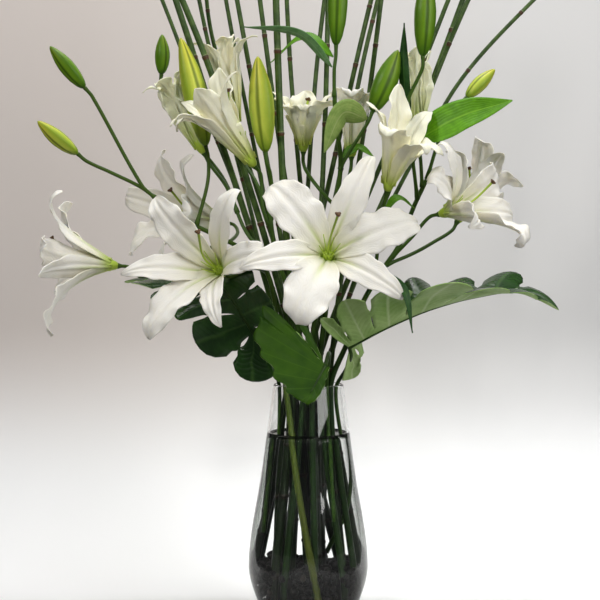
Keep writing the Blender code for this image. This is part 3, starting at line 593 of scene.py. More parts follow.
def unit_ball():
    """Points and faces of a small round mesh."""
    made = bmesh.new()
    bmesh.ops.create_icosphere(made, subdivisions=3, radius=1.0)
    points = [v.co.copy() for v in made.verts]
    faces = [tuple(v.index for v in f.verts) for f in made.faces]
    made.free()
    return points, faces


BALL_POINTS, BALL_FACES = unit_ball()


def add_pebble(surface, centre, size, draw):
    """One pebble: a ball squashed to an oval, with a few soft dents, turned any way."""
    squash = (draw.uniform(0.9, 1.25), draw.uniform(0.75, 1.0), draw.uniform(0.55, 0.85))
    spin = Euler([draw.uniform(0, math.tau) for _ in range(3)]).to_matrix()
    seed = Vector((draw.uniform(0, 90), draw.uniform(0, 90), 0))
    shade = draw.random()
    start = len(surface.points)
    for p in BALL_POINTS:
        dent = 1 + 0.22 * noise.noise(p * 0.9 + seed) + 0.06 * noise.noise(p * 2.3 + seed)
        spot = spin @ Vector((p.x * squash[0], p.y * squash[1], p.z * squash[2]))
        surface.points.append(centre + spot * (size * dent))
        surface.places.append((shade + 0.02 * p.x, seed.x + 0.02 * p.y))
    for face in BALL_FACES:
        surface.faces.append(tuple(start + i for i in face))
        surface.kinds.append(0)


FRONT_STEMS = (         # foot and neck of the stems that show between the stones at the front
    ((0.014, -0.050, 0.012), (-0.026, -0.0225, 0.272)), ((-0.026, -0.024, 0.018), (-0.006, -0.026, 0.272)),
    ((-0.036, -0.020, 0.016), (-0.018, -0.017, 0.272)), ((0.040, -0.030, 0.016), (0.013, -0.0255, 0.272)))


def hides_stem(centre, size):
    """Whether a stone would stand in front of one of these stems, at the height of its middle."""
    for foot, neck in FRONT_STEMS:
        t = (centre.z - foot[2]) / (neck[2] - foot[2])
        x, y = (foot[k] + (neck[k] - foot[k]) * t for k in (0, 1))
        if abs(centre.x - x) < size + 0.003 and centre.y < y - 0.002 and centre.z > foot[2]:
            return True
    return False


draw = random.Random(4)
stones = Surface()
placed = []
for _ in range(PEBBLE_TRIES):
    z = draw.uniform(0.010, PEBBLE_LEVEL + 0.004)
    top = z > PEBBLE_LEVEL - 0.010
    room = vase_radius(max(z, 0.012)) - GLASS
    size = draw.uniform(*PEBBLE_SIZES)
    reach = room - size * 1.02
    distance = min(reach, room * math.sqrt(draw.random())) if top else reach - abs(draw.gauss(0, 0.003))
    angle = draw.uniform(0, math.tau)
    centre = Vector((distance * math.cos(angle), distance * math.sin(angle), z))
    if hides_stem(centre, size):
        continue
    if all((centre - other).length > CLOSENESS * (size + near) for other, near in placed):
        placed.append((centre, size))
        add_pebble(stones, centre, size, draw)

core = [(0.0001, 0.009), (0.033, 0.009), (0.034, 0.025), (0.034, 0.045), (0.033, 0.052), (0.0001, 0.054)]
stones.grid(rings(core, CORE_SIDES), [[(0.1, height)] * CORE_SIDES for _, height in core], closed=True)

mat, tree, shader = new_material("river_pebble", 0.45)
shader.inputs["Specular IOR Level"].default_value = 0.08
u, _ = texture_place(tree)
dusted = use_group(tree, mottle, Scale=420.0, Dark=(0.0012, 0.0010, 0.0010), Light=(0.006, 0.005, 0.0045),
                   Contrast=0.2)
pale = blend_colours(tree, span(tree, calc(tree, "FRACT", u), 0.94, 1.0), dusted.outputs["Color"],
                     (0.035, 0.028, 0.024))
tree.links.new(pale, shader.inputs["Base Color"])
bump(tree, shader, dusted.outputs["Height"], 0.25)
pebbles = stones.finish("pebbles", [mat], ("pebble_bed",), "dark_pebbles")
print(len(placed), "pebbles")
report(pebbles, "pebble_bed")

# %% [markdown]
# ## Where everything grows
# These tables are the bouquet in numbers, the same ones that shaped the CAD solids. A reed is a foot
# in the pebbles, a place in the neck, a shoulder and a tip. A flower is its base, the way it faces
# and six tepals, each a roll round the axis, how far it opens, its reach, its width and its curl.

# %% Reeds in numbers
# horsetail reeds, numbered from 01: radius, foot (x, y, z), place in the neck (x, y), shoulder and tip
REED_ROWS = (
    (0.0027, (-0.022, 0.041, 0.030), (-0.010, 0.031), (-0.166, 0.105, 0.709), (-0.244, 0.125, 0.900)),
    (0.0040, (-0.017, -0.010, 0.014), (-0.020, -0.007), (-0.123, 0.014, 0.627), (-0.224, 0.030, 0.930)),
    (0.0040, (0.010, -0.011, 0.030), (-0.006, -0.008), (-0.111, -0.004, 0.637), (-0.224, -0.006, 0.905)),
    (0.0028, (-0.044, 0.024, 0.045), (-0.026, 0.011), (-0.128, 0.100, 0.710), (-0.167, 0.125, 0.900)),
    (0.0028, (0.008, 0.040, 0.020), (0.004, 0.031), (-0.123, 0.118, 0.716), (-0.137, 0.130, 0.880)),
    (0.0028, (-0.019, 0.017, 0.022), (-0.015, 0.011), (-0.095, 0.085, 0.710), (-0.133, 0.105, 0.915)),
    (0.0032, (0.003, 0.017, 0.040), (-0.005, 0.011), (-0.083, 0.075, 0.722), (-0.124, 0.095, 0.935)),
    (0.0032, (0.0112, 0.017, 0.035), (0.006, 0.011), (-0.046, 0.052, 0.648), (-0.080, 0.070, 0.905)),
    (0.0043, (-0.036, -0.020, 0.016), (-0.018, -0.017), (-0.032, -0.036, 0.558), (-0.045, -0.044, 0.950)),
    (0.0030, (0.048, 0.014, 0.025), (0.017, 0.011), (-0.020, 0.046, 0.641), (-0.033, 0.060, 0.915)),
    (0.0030, (-0.040, 0.036, 0.034), (-0.015, 0.020), (0.009, 0.075, 0.650), (0.039, 0.095, 0.895)),
    (0.0033, (0.006, -0.024, 0.022), (0.006, -0.016), (0.021, 0.020, 0.615), (0.027, 0.024, 0.925)),
    (0.0032, (-0.042, 0.002, 0.097), (-0.026, 0.002), (0.051, 0.040, 0.636), (0.116, 0.055, 0.905)),
    (0.0030, (0.030, 0.036, 0.020), (0.000, 0.020), (0.062, 0.075, 0.643), (0.122, 0.100, 0.890)),
    (0.0032, (0.036, -0.018, 0.024), (0.025, -0.010), (0.078, 0.031, 0.657), (0.107, 0.036, 0.895)),
    (0.0030, (-0.030, 0.004, 0.018), (-0.012, 0.002), (0.157, 0.040, 0.709), (0.233, 0.055, 0.900)),
    (0.0035, (0.000, 0.004, 0.032), (0.003, 0.002), (0.133, 0.028, 0.598), (0.252, 0.050, 0.915)),
    (0.0030, (0.013, 0.005, 0.026), (0.017, 0.002), (0.160, 0.016, 0.664), (0.264, 0.018, 0.895)),
    (0.0028, (0.042, 0.034, 0.042), (0.016, 0.020), (0.174, 0.080, 0.627), (0.330, 0.105, 0.805)),
)
REEDS = {f"reed_{k:02d}": row for k, row in enumerate(REED_ROWS, 1)}
print(len(REEDS), "reeds")

# %% Lilies in numbers
# lilies: where the stem meets the flower, the way it faces, the pistil's length, and six tepals,
# inner and outer in turn, each as (roll, opening, reach, width, curl). Roll is clockwise from the top as
# seen from in front, opening and curl are angles from the flower's axis, in degrees.
FLOWERS = {
    "lily_front": ((0.022, -0.060, 0.429), (0.02, -0.95, 0.30), 0.085, (
        (320, 72, 0.116, 0.058, 120), (25, 68, 0.137, 0.0385, 105), (72, 70, 0.120, 0.052, 115),
        (126, 66, 0.116, 0.038, 110), (203, 64, 0.114, 0.062, 115), (255, 62, 0.122, 0.0385, 105))),
    "lily_left_front": ((-0.099, -0.040, 0.412), (-0.42, -0.87, 0.28), 0.085, (
        (322, 38, 0.130, 0.042, 90), (25, 57, 0.117, 0.032, 125), (84, 64, 0.094, 0.0395, 150),
        (154, 54, 0.110, 0.033, 100), (207, 56, 0.132, 0.042, 100), (252, 42, 0.128, 0.036, 80))),
    "lily_far_left": ((-0.227, -0.020, 0.421), (-0.97, -0.20, 0.12), 0.080, (
        (20, 46, 0.122, 0.034, 115), (75, 30, 0.108, 0.040, 100), (112, 32, 0.110, 0.032, 60),
        (158, 52, 0.124, 0.040, 95), (240, 50, 0.112, 0.032, 80), (325, 52, 0.112, 0.0395, 110))),
    "lily_left_back": ((-0.106, 0.078, 0.476), (-0.86, -0.40, 0.20), 0.080, (
        (280, 34, 0.135, 0.039, 120), (335, 42, 0.124, 0.054, 90), (35, 45, 0.116, 0.039, 100),
        (95, 42, 0.104, 0.050, 100), (155, 40, 0.112, 0.038, 90), (220, 38, 0.130, 0.050, 95))),
    "lily_upper_left": ((-0.064, -0.030, 0.539), (-0.56, -0.31, 0.77), 0.090, (
        (120, 16, 0.125, 0.040, 30), (175, 28, 0.122, 0.030, 85), (215, 30, 0.108, 0.040, 110),
        (265, 26, 0.118, 0.030, 60), (330, 26, 0.125, 0.042, 50), (50, 24, 0.122, 0.030, 75))),
    "lily_top_left": ((-0.089, 0.038, 0.590), (-0.17, 0.00, 0.98), 0.080, (
        (270, 17, 0.120, 0.040, 75), (215, 20, 0.116, 0.024, 60), (155, 16, 0.116, 0.040, 85),
        (100, 22, 0.120, 0.026, 80), (40, 16, 0.118, 0.040, 70), (330, 20, 0.118, 0.024, 60))),
    "lily_small_left": ((-0.128, 0.034, 0.560), (-0.44, -0.15, 0.88), 0.070, (
        (130, 13, 0.106, 0.040, 60), (190, 17, 0.108, 0.016, 80), (252, 13, 0.106, 0.040, 60),
        (312, 17, 0.104, 0.016, 60), (12, 13, 0.106, 0.040, 60), (72, 17, 0.104, 0.016, 60))),
    "lily_centre": ((-0.006, 0.002, 0.559), (0.00, -0.20, 0.98), 0.060, (
        (120, 32, 0.076, 0.044, 55), (180, 34, 0.064, 0.036, 150), (244, 30, 0.074, 0.044, 55),
        (300, 30, 0.082, 0.032, 60), (2, 26, 0.078, 0.044, 50), (62, 30, 0.078, 0.030, 60))),
    "lily_centre_back": ((0.052, 0.006, 0.553), (0.05, 0.00, 1.00), 0.060, (
        (190, 26, 0.080, 0.040, 140), (130, 26, 0.076, 0.030, 150), (70, 20, 0.064, 0.040, 150),
        (10, 18, 0.078, 0.026, 90), (315, 18, 0.080, 0.040, 90), (255, 24, 0.082, 0.026, 140))),
    "lily_right_cup": ((0.091, -0.060, 0.508), (0.20, -0.30, 0.93), 0.070, (
        (8, 14, 0.122, 0.040, 25), (64, 36, 0.116, 0.034, 70), (118, 44, 0.082, 0.042, 115),
        (178, 40, 0.086, 0.036, 120), (236, 34, 0.094, 0.044, 110), (300, 24, 0.108, 0.034, 60))),
    "lily_far_right": ((0.155, -0.030, 0.482), (0.86, -0.45, 0.25), 0.070, (
        (240, 50, 0.088, 0.036, 120), (185, 38, 0.112, 0.050, 140), (110, 44, 0.096, 0.038, 105),
        (55, 52, 0.098, 0.044, 115), (350, 76, 0.088, 0.038, 160), (305, 78, 0.070, 0.044, 165))),
    "lily_right_back": ((0.184, 0.042, 0.476), (0.48, 0.40, 0.78), 0.070, (
        (300, 30, 0.104, 0.034, 80), (345, 26, 0.112, 0.042, 90), (45, 32, 0.106, 0.034, 90),
        (105, 34, 0.112, 0.042, 90), (165, 36, 0.104, 0.034, 100), (240, 32, 0.100, 0.042, 90))),
    "lily_opening": ((0.131, -0.006, 0.578), (-0.03, 0.00, 1.00), 0.070, (
        (182, 9, 0.104, 0.040, 30), (238, 11, 0.100, 0.012, 30), (302, 9, 0.104, 0.040, 30),
        (2, 11, 0.100, 0.012, 30), (62, 9, 0.104, 0.040, 30), (118, 11, 0.100, 0.012, 30))),
}
print(len(FLOWERS), "lilies")

# %% Buds in numbers
# buds: where the stem meets the bud, the tip, and the greatest radius
BUDS = {
    "bud_far_left_upper": ((-0.265, -0.020, 0.632), (-0.304, -0.030, 0.679), 0.0095),
    "bud_far_left_lower": ((-0.272, -0.030, 0.553), (-0.315, -0.050, 0.589), 0.0095),
    "bud_left_small": ((-0.182, 0.056, 0.659), (-0.181, 0.056, 0.708), 0.0095),
    "bud_left_large": ((-0.123, -0.005, 0.565), (-0.152, -0.012, 0.692), 0.0148),
    "bud_centre_left": ((-0.050, -0.045, 0.554), (-0.059, -0.050, 0.664), 0.0150),
    "bud_top_centre": ((0.032, -0.044, 0.678), (0.035, -0.046, 0.782), 0.0120),
    "bud_centre_right": ((0.075, -0.034, 0.602), (0.105, -0.034, 0.674), 0.0140),
    "bud_top_right": ((0.133, -0.046, 0.665), (0.136, -0.052, 0.760), 0.0130),
    "bud_far_right": ((0.190, 0.000, 0.623), (0.225, 0.010, 0.658), 0.0090),
}
print(len(BUDS), "buds")

# %% Lily stems in numbers
# branching lily stems: the main run first, then each side stem as its knots and what it carries
STEM_RADIUS = 0.0040
STEM_TAPER = 0.35       # the share of its radius that a stem loses by its end
PEDICEL_RADIUS = 0.0022
LILY_STEMS = {
    "stem_left": (
        ((0.014, -0.050, 0.012), (-0.008, -0.043, 0.135), (-0.026, -0.0225, 0.272), (-0.036, -0.020, 0.340),
         (-0.048, -0.018, 0.410), (-0.078, -0.012, 0.440), (-0.137, -0.020, 0.470)),
        (
            (((-0.050, -0.018, 0.415), (-0.066, -0.026, 0.418)), "lily_left_front"),
            (((-0.100, -0.014, 0.450), (-0.150, -0.010, 0.428), (-0.198, -0.017, 0.408)), "lily_far_left"),
            (((-0.105, -0.014, 0.452), (-0.098, 0.020, 0.450), (-0.088, 0.064, 0.462)), "lily_left_back"),
            (((-0.137, -0.020, 0.470), (-0.182, -0.018, 0.502), (-0.198, -0.020, 0.517)),
             "bud_far_left_upper"),
            (((-0.182, -0.018, 0.502), (-0.200, -0.019, 0.515), (-0.235, -0.024, 0.532)),
             "bud_far_left_lower"),
            (((-0.133, -0.020, 0.468), (-0.120, -0.014, 0.520)), "bud_left_large"),
        ),
    ),
    "stem_centre_left": (
        ((-0.026, -0.024, 0.018), (-0.006, -0.026, 0.272), (-0.010, -0.031, 0.330), (-0.022, -0.036, 0.385),
         (-0.036, -0.036, 0.430), (-0.044, -0.032, 0.470), (-0.042, -0.027, 0.505)),
        (
            (((-0.043, -0.032, 0.460), (-0.054, -0.030, 0.490)), "lily_upper_left"),
            (((-0.042, -0.028, 0.500), (-0.045, -0.036, 0.530)), "bud_centre_left"),
            (((-0.044, -0.030, 0.475), (-0.062, -0.006, 0.520), (-0.084, 0.030, 0.556)), "lily_top_left"),
            (((-0.038, -0.035, 0.435), (-0.070, -0.016, 0.455), (-0.098, 0.008, 0.515)), "lily_small_left"),
            (((-0.085, -0.006, 0.485), (-0.105, 0.036, 0.530), (-0.152, 0.068, 0.590)), "bud_left_small"),
        ),
    ),
    "stem_front": (
        ((0.007, -0.037, 0.020), (0.004, -0.0335, 0.272), (0.006, -0.034, 0.340), (0.012, -0.030, 0.390)),
        (
            (((0.010, -0.032, 0.375), (0.020, -0.036, 0.408)), "lily_front"),
        ),
    ),
    "stem_centre_right": (
        ((0.040, -0.030, 0.016), (0.013, -0.0255, 0.272), (0.024, -0.024, 0.400), (0.034, -0.020, 0.499),
         (0.038, -0.024, 0.545), (0.032, -0.037, 0.590), (0.030, -0.043, 0.625)),
        (
            (((0.030, -0.042, 0.618), (0.030, -0.044, 0.650)), "bud_top_centre"),
            (((0.037, -0.023, 0.535), (0.047, -0.028, 0.553)), "bud_centre_right"),
            (((0.033, -0.020, 0.490), (0.016, -0.026, 0.508), (0.000, -0.012, 0.530)), "lily_centre"),
            (((0.034, -0.020, 0.500), (0.046, -0.004, 0.520)), "lily_centre_back"),
        ),
    ),
    "stem_right": (
        ((0.050, -0.014, 0.014), (0.026, -0.020, 0.272), (0.046, -0.026, 0.330), (0.066, -0.028, 0.381),
         (0.088, -0.028, 0.417), (0.107, -0.026, 0.445), (0.125, -0.014, 0.490), (0.142, -0.004, 0.525)),
        (
            (((0.098, -0.027, 0.430), (0.122, -0.030, 0.455)), "lily_far_right"),
            (((0.092, -0.027, 0.422), (0.125, -0.018, 0.436), (0.152, 0.010, 0.450)), "lily_right_back"),
            (((0.078, -0.028, 0.402), (0.082, -0.042, 0.450)), "lily_right_cup"),
            (((0.136, -0.008, 0.515), (0.134, -0.006, 0.550)), "lily_opening"),
            (((0.130, -0.012, 0.500), (0.122, -0.022, 0.560), (0.116, -0.034, 0.610)), "bud_top_right"),
            (((0.142, -0.004, 0.525), (0.160, 0.000, 0.580)), "bud_far_right"),
        ),
    ),
}
print("side stems:", {name: len(sides) for name, (_, sides) in LILY_STEMS.items()})

# %% Leaves in numbers
# lily leaves: the stem, its run (0 is the main one, then the side stems in order) and the height
# at which the leaf sits on it, its knots out to the tip, the greatest width, and how far it leans over
LILY_LEAVES = {
    "leaf_top_long": ("stem_centre_right", 1, 0.652, ((-0.011, -0.058, 0.688), (-0.075, -0.056, 0.697)),
                      0.014, -30),
    "leaf_top_short": ("stem_centre_right", 1, 0.664, ((-0.004, -0.030, 0.690), (-0.046, -0.010, 0.662)),
                       0.016, 40),
    "leaf_centre_pale": ("stem_centre_right", 2, 0.592, ((0.040, -0.054, 0.598), (0.018, -0.054, 0.552)),
                         0.030, -60),
    "leaf_right_dark": ("stem_right", 5, 0.575, ((0.1125, -0.030, 0.640), (0.1118, -0.038, 0.705)),
                        0.014, 0),
    "leaf_right_bright": ("stem_right", 5, 0.566, ((0.175, -0.034, 0.595), (0.238, -0.043, 0.614)),
                          0.042, -72),
    "leaf_centre_small": ("stem_centre_right", 0, 0.548, ((0.058, -0.014, 0.562), (0.078, -0.018, 0.550)),
                          0.016, -30),
    "leaf_right_small": ("stem_right", 3, 0.484, ((0.104, -0.048, 0.500), (0.124, -0.044, 0.488)),
                         0.014, -30),
    "leaf_right_narrow": (
        "stem_right", 0, 0.384, ((0.080, -0.070, 0.408), (0.106, -0.114, 0.394), (0.115, -0.124, 0.346)),
        0.012, -30),
}

# monstera leaves: the petiole's knots, the midrib's knots, the way the blade's face looks at its base
# and at its tip, how far a lobe's middle stands above its edges, and then each half of the blade: how
# far it is folded up at its base and at its tip, how far it droops, and the lines between its lobes.
# A line is its start along the midrib, its angle to the midrib, its length, and half the angle by which
# the lobes beside it part.
MONSTERAS = {
    "monstera_front": {
        "petiole": ((0.028, -0.042, 0.120), (0.0215, -0.0275, 0.272), (0.024, -0.044, 0.318)),
        "midrib": ((0.0186, -0.080, 0.306), (0.0075, -0.088, 0.286), (-0.0043, -0.096, 0.2655)),
        "faces": ((-0.04, -0.96, 0.25), (-0.06, -0.97, 0.15)),
        "arch": 0.0,
        "sides": (
            ((0, 0), 6, ((0.00, 132, 0.028, 0), (0.01, 118, 0.058, 3), (0.02, 103, 0.098, 0),
                         (0.12, 88, 0.0874, 0), (0.30, 79, 0.0626, 0), (0.50, 65, 0.0403, 0),
                         (0.70, 53, 0.0222, 0))),
            ((0, 0), 20, ((0.00, 104, 0.005, 0), (0.12, 84, 0.007, 0), (0.30, 70, 0.010, 0),
                          (0.50, 58, 0.0125, 0), (0.70, 46, 0.012, 0))),
        ),
    },
    "monstera_left": {
        "petiole": ((-0.044, -0.006, 0.100), (-0.0345, -0.004, 0.272), (-0.050, -0.010, 0.318)),
        "midrib": ((-0.062, -0.036, 0.337), (-0.108, -0.024, 0.400), (-0.165, 0.008, 0.412),
                   (-0.222, 0.032, 0.400)),
        "faces": ((-0.30, -0.93, 0.16), (0.00, 0.02, 1.00)),
        "arch": 0.0016,
        "sides": (
            ((0, 0), 0, ((0.00, 140, 0.016, 0), (0.05, 108, 0.032, 3), (0.20, 86, 0.037, 3),
                         (0.40, 70, 0.042, 3), (0.58, 58, 0.044, 3), (0.74, 42, 0.034, 3))),
            ((0, 0), 6, ((0.00, 176, 0.052, 0), (0.03, 104, 0.046, 7), (0.13, 60, 0.062, 3),
                         (0.30, 58, 0.072, 3), (0.50, 54, 0.062, 4), (0.70, 42, 0.042, 4))),
        ),
    },
    "monstera_right": {
        "petiole": ((0.016, 0.006, 0.075), (0.036, 0.002, 0.130), (0.042, -0.004, 0.190),
                    (0.0325, -0.010, 0.272), (0.0450, -0.016, 0.298), (0.0500, -0.034, 0.314)),
        "midrib": ((0.048, -0.044, 0.325), (0.092, -0.042, 0.348), (0.143, -0.034, 0.369),
                   (0.200, -0.008, 0.383), (0.257, 0.015, 0.388), (0.309, 0.030, 0.366)),
        "faces": ((-0.30, 0.84, 0.50), (0.00, -0.36, 0.93)),
        "arch": 0.0050,
        "sides": (
            ((0, 0), 6, ((0.00, 116, 0.020, 0), (0.02, 96, 0.054, 3), (0.14, 84, 0.062, 3),
                         (0.28, 74, 0.060, 4), (0.44, 64, 0.056, 5), (0.60, 54, 0.046, 5),
                         (0.76, 40, 0.034, 5))),
            ((64, 22), -10, ((0.00, 122, 0.050, 0), (0.02, 84, 0.036, 10), (0.14, 84, 0.052, 3),
                             (0.28, 74, 0.058, 4), (0.44, 64, 0.060, 6), (0.60, 56, 0.052, 6),
                             (0.76, 44, 0.038, 6))),
        ),
    },
}
TIP_START = 0.88        # where the undivided end of a blade begins
print(len(LILY_LEAVES), "lily leaves and", len(MONSTERAS), "monstera leaves")

# %% [markdown]
# ## Horsetail reeds
# A horsetail is a hollow ribbed tube with a joint every hand's width. At each joint a sheath hugs the
# stem: a rusty brown band with a pale line above it. The tube's v counts joints, so one material
# paints every band where the mesh has its collar, however long each stretch is.

# %% Reed shape
NECK_Z = 0.272
REED_STEPS = 70
COLLAR_ROOM = 0.006     # the plain rings keep this far from a joint
REED_JOINTS = {         # heights of joints whose place matters; the others follow at random
    "reed_09": (0.148, 0.386, 0.577, 0.673),
    "reed_12": (0.102, 0.480, 0.690),
    "reed_13": (0.560, 0.670),
}
# a collar's rings: how far each stands from the joint, and its share of the reed's radius
COLLAR = ((-0.0034, 1.00), (-0.0026, 1.10), (-0.0004, 1.14), (0.0002, 1.05), (0.0010, 0.97))


def reed_path(foot, neck, shoulder, tip):
    """The curve of a reed from its foot, through the vase's neck, to its tip."""
    return smooth_path([foot, (*neck, NECK_Z), shoulder, tip], 16)


def joint_places(name, path, run, draw):
    """Distances along a reed at which it has a joint."""
    wanted = []
    for height in REED_JOINTS.get(name, ()):
        for a, b, distance in zip(path, path[1:], run):
            if a.z <= height < b.z:
                wanted.append(distance + (b - a).length * (height - a.z) / (b.z - a.z))
    places = []
    place = draw.uniform(0.02, 0.07)
    while place < run[-1] - 0.02:
        places.append(place)
        place += draw.uniform(0.068, 0.080) if place < 0.22 else draw.uniform(0.092, 0.112)
    for joint in wanted:
        near = min(places, key=lambda p: abs(p - joint))
        places[places.index(near)] = joint
    return sorted(places)


def count_joints(distance, joints):
    """How many joints lie below a distance, with the share of the stretch on to the next."""
    stops = [joints[0] - 0.1, *joints, joints[-1] + 0.1]
    i = sum(distance > joint for joint in joints)
    return i + (distance - stops[i]) / (stops[i + 1] - stops[i])


# %% Reed skin
def reed_material(name, dark, light):
    """Ribbed green skin with a band at every joint, painted darker low down as painted shade."""
    mat, tree, shader = new_material(name, 0.42)
    _, v = texture_place(tree)
    shader.inputs["Specular IOR Level"].default_value = 0.30
    fresh = use_group(tree, mottle, Scale=90.0, Dark=dark, Light=light, Contrast=0.3)
    spot = add_node(tree, "ShaderNodeNewGeometry")
    xyz = add_node(tree, "ShaderNodeSeparateXYZ", Vector=spot.outputs["Position"])
    # painted shade: the skin is painted darker from 0.40 m down to 0.22 m high, where the bundle shades
    # itself
    painted_shade_low = span(tree, xyz.outputs["Z"], 0.40, 0.22)
    ground = blend_colours(tree, painted_shade_low, fresh.outputs["Color"], deeper(dark, 0.25))
    lines = use_group(tree, ribs, Count=5.0, Waver=0.0)
    grooved = blend_colours(tree, calc(tree, "MULTIPLY", lines.outputs["Line"], 0.45), ground,
                            deeper(dark, 0.25))
    below = calc(tree, "SUBTRACT", calc(tree, "FRACT", calc(tree, "ADD", v, 0.5)), 0.5)
    band = calc(tree, "MULTIPLY", span(tree, below, -0.052, -0.040), span(tree, below, 0.004, -0.002))
    line = calc(tree, "MULTIPLY", span(tree, below, -0.002, 0.002), span(tree, below, 0.016, 0.010))
    dark_end = calc(tree, "MULTIPLY", span(tree, below, -0.012, -0.004), span(tree, below, 0.004, 0.0))
    sheath = blend_colours(tree, band, grooved, (0.085, 0.040, 0.018))
    sheath = blend_colours(tree, dark_end, sheath, (0.018, 0.010, 0.006))
    sheath = blend_colours(tree, calc(tree, "MULTIPLY", line, 0.65), sheath, (0.22, 0.24, 0.10))
    # painted shade darkens the bands and pale lines low down as well
    sheath = blend_colours(tree, calc(tree, "MULTIPLY", painted_shade_low, calc(tree, "MAXIMUM", band, line)), sheath,
                           (0.012, 0.010, 0.005))
    tree.links.new(sheath, shader.inputs["Base Color"])
    bump(tree, shader, lines.outputs["Height"], 0.55, 0.0005)
    return mat


cut_end = mottled_material("cut_end", 0.7, 500.0, (0.20, 0.17, 0.07), (0.42, 0.38, 0.20))
reed_skin = reed_material("reed_skin", (0.020, 0.050, 0.008), (0.085, 0.155, 0.028))

# %% Reeds
def build_reed(name, radius, knots, draw):
    """One reed with its collars, standing for its CAD solid."""
    path = reed_path(*knots)
    run = lengths(path)
    joints = joint_places(name, path, run, draw)
    marks = {round(run[-1] * i / REED_STEPS, 5): 1.0 for i in range(REED_STEPS + 1)}
    for joint in joints:
        marks = {d: k for d, k in marks.items() if abs(d - joint) > COLLAR_ROOM}
        for offset, swell in COLLAR:
            marks[round(joint + offset, 5)] = swell
    distances = sorted(marks)
    spots = [at_length(path, run, d) for d in distances]
    radii = [radius * marks[d] * (1.22 - 0.22 * ease(0.10, 0.30, d) - 0.08 * d / run[-1]) for d in distances]
    surface = Surface()
    surface.tube(spots, radii, sides=14, measure=lambda d: count_joints(d, joints), ends=1)
    return surface.finish(f"{name}_stem", [reed_skin, cut_end], (name,), "reed_green")


draw = random.Random(11)
for name, (radius, *knots) in REEDS.items():
    reed = build_reed(name, radius, knots, draw)
    report(reed, name)

# %% [markdown]
# ## Lily stems
# Each lily stem is one main run that tapers upwards and side stems that each end under a flower or a
# bud. The leaves are stripped below the neck, and a faint scar stays where each one grew. Stem, side
# stems and scars go into one mesh, since the real stem is one plant.

# %% Stem skin
def stem_material(name, low, high, turn_low, turn_high):
    """Green skin with fine lines along it, in one colour at the foot and another higher up."""
    mat, tree, shader = new_material(name, 0.40)
    fade_along = use_group(tree, length_fade, Start=low, End=high, From=turn_low, To=turn_high)
    lines = use_group(tree, ribs, Count=6.0, Waver=0.1)
    patch = use_group(tree, mottle, Scale=160.0, Dark=(0.0, 0.0, 0.0), Light=(1.0, 1.0, 1.0), Contrast=0.35)
    shade = calc(tree, "MULTIPLY", calc(tree, "ADD", patch.outputs["Height"], lines.outputs["Line"]), 0.30)
    tree.links.new(blend_colours(tree, shade, fade_along.outputs["Color"], deeper(low, 0.35)),
                   shader.inputs["Base Color"])
    bump(tree, shader, lines.outputs["Height"], 0.25, 0.0004)
    return mat


olive_stem = stem_material("olive_stem", (0.070, 0.088, 0.010), (0.055, 0.110, 0.012), 0.05, 0.40)
# painted shade: the green stems' dark foot stands for the shade low in the bundle, under the leaves and in
# the vase
green_stem = stem_material("green_stem", (0.012, 0.032, 0.006), (0.060, 0.130, 0.016), 0.24, 0.40)


# %% Lily stems
def flower_seat(carried):
    """The last two knots of the side stem that carries a flower or a bud, in line with it."""
    if carried in FLOWERS:
        base, axis = (Vector(v) for v in FLOWERS[carried][:2])
    else:
        base, tip = (Vector(v) for v in BUDS[carried][:2])
        axis = tip - base
    return [base - 0.014 * axis.normalized(), base]


def build_lily_stem(name, main, sides, skin):
    """One lily stem with its side stems, standing for its CAD solid."""
    surface = Surface()
    path = smooth_path(main, 12)
    run = lengths(path)
    scars = [d for d in (0.02 + 0.023 * i for i in range(60)) if d < run[-1]]
    radii = []
    for distance in run:
        scar = math.exp(-(min(abs(distance - s) for s in scars) / 0.0016) ** 2)
        radii.append(STEM_RADIUS * (1 - STEM_TAPER * distance / run[-1]) * (1 + 0.05 * scar))
    surface.tube(path, radii, sides=16, ends=1)
    for knots, carried in sides:
        side = smooth_path([*knots, *flower_seat(carried)], 10)
        end = len(side) - 1
        flare = 1.75 if carried in FLOWERS else 1.2
        thick = [PEDICEL_RADIUS * (1 + 0.5 * (1 - ease(0, 3, i)) + (flare - 1) * ease(end - 4, end, i))
                 for i in range(end + 1)]
        surface.tube(side, thick, sides=12, measure=lambda d: 0.5 + d)
    return surface.finish(f"{name}_branches", [skin, cut_end], (name,), "stem_green")


for name, (main, sides) in LILY_STEMS.items():
    stem = build_lily_stem(name, main, sides, olive_stem if name == "stem_left" else green_stem)
    report(stem, name)

# %% [markdown]
# ## Lilies
# A lily has six tepals in two whorls: three broad inner ones with ruffled edges, and three narrow outer
# ones behind the gaps. Each leaves the throat along the axis, opens, and curls back at its tip. So one
# tepal is a bent sheet: a curve carries it out, and its cross section cups round the throat, with a
# groove down the middle between two soft ridges. Edges ripple more towards the rim, never at the base.

# %% Tepal shape
OUTER_WIDTH = 0.0391    # a tepal narrower than this belongs to the outer whorl
TEPAL_ROWS = 44         # from throat to tip
TEPAL_COLUMNS = 16      # from edge to edge
TEPAL_THICKNESS = 0.0008


def flower_frame(axis):
    """The flower's axis, its upward direction and its sideways direction."""
    axis = Vector(axis).normalized()
    up = Vector((0, 0, 1)) if abs(axis.z) < 0.95 else Vector((0, 1, 0))
    up = (up - axis * up.dot(axis)).normalized()
    return axis, up, up.cross(axis)


def tepal_width(t, outer):
    """The share of a tepal's half width at a share of its length: broad foot, full blade, blunt tip."""
    foot = 0.40 + 0.60 * ease(-0.05, 0.42 if outer else 0.52, t)
    taper = 1 - (0.42 if outer else 0.18) * ease(0.40, 0.95, t)
    tip = max(0.0, 1 - max(0.0, (t - 0.62) / 0.38) ** 2.3) ** 0.70
    return foot * taper * tip


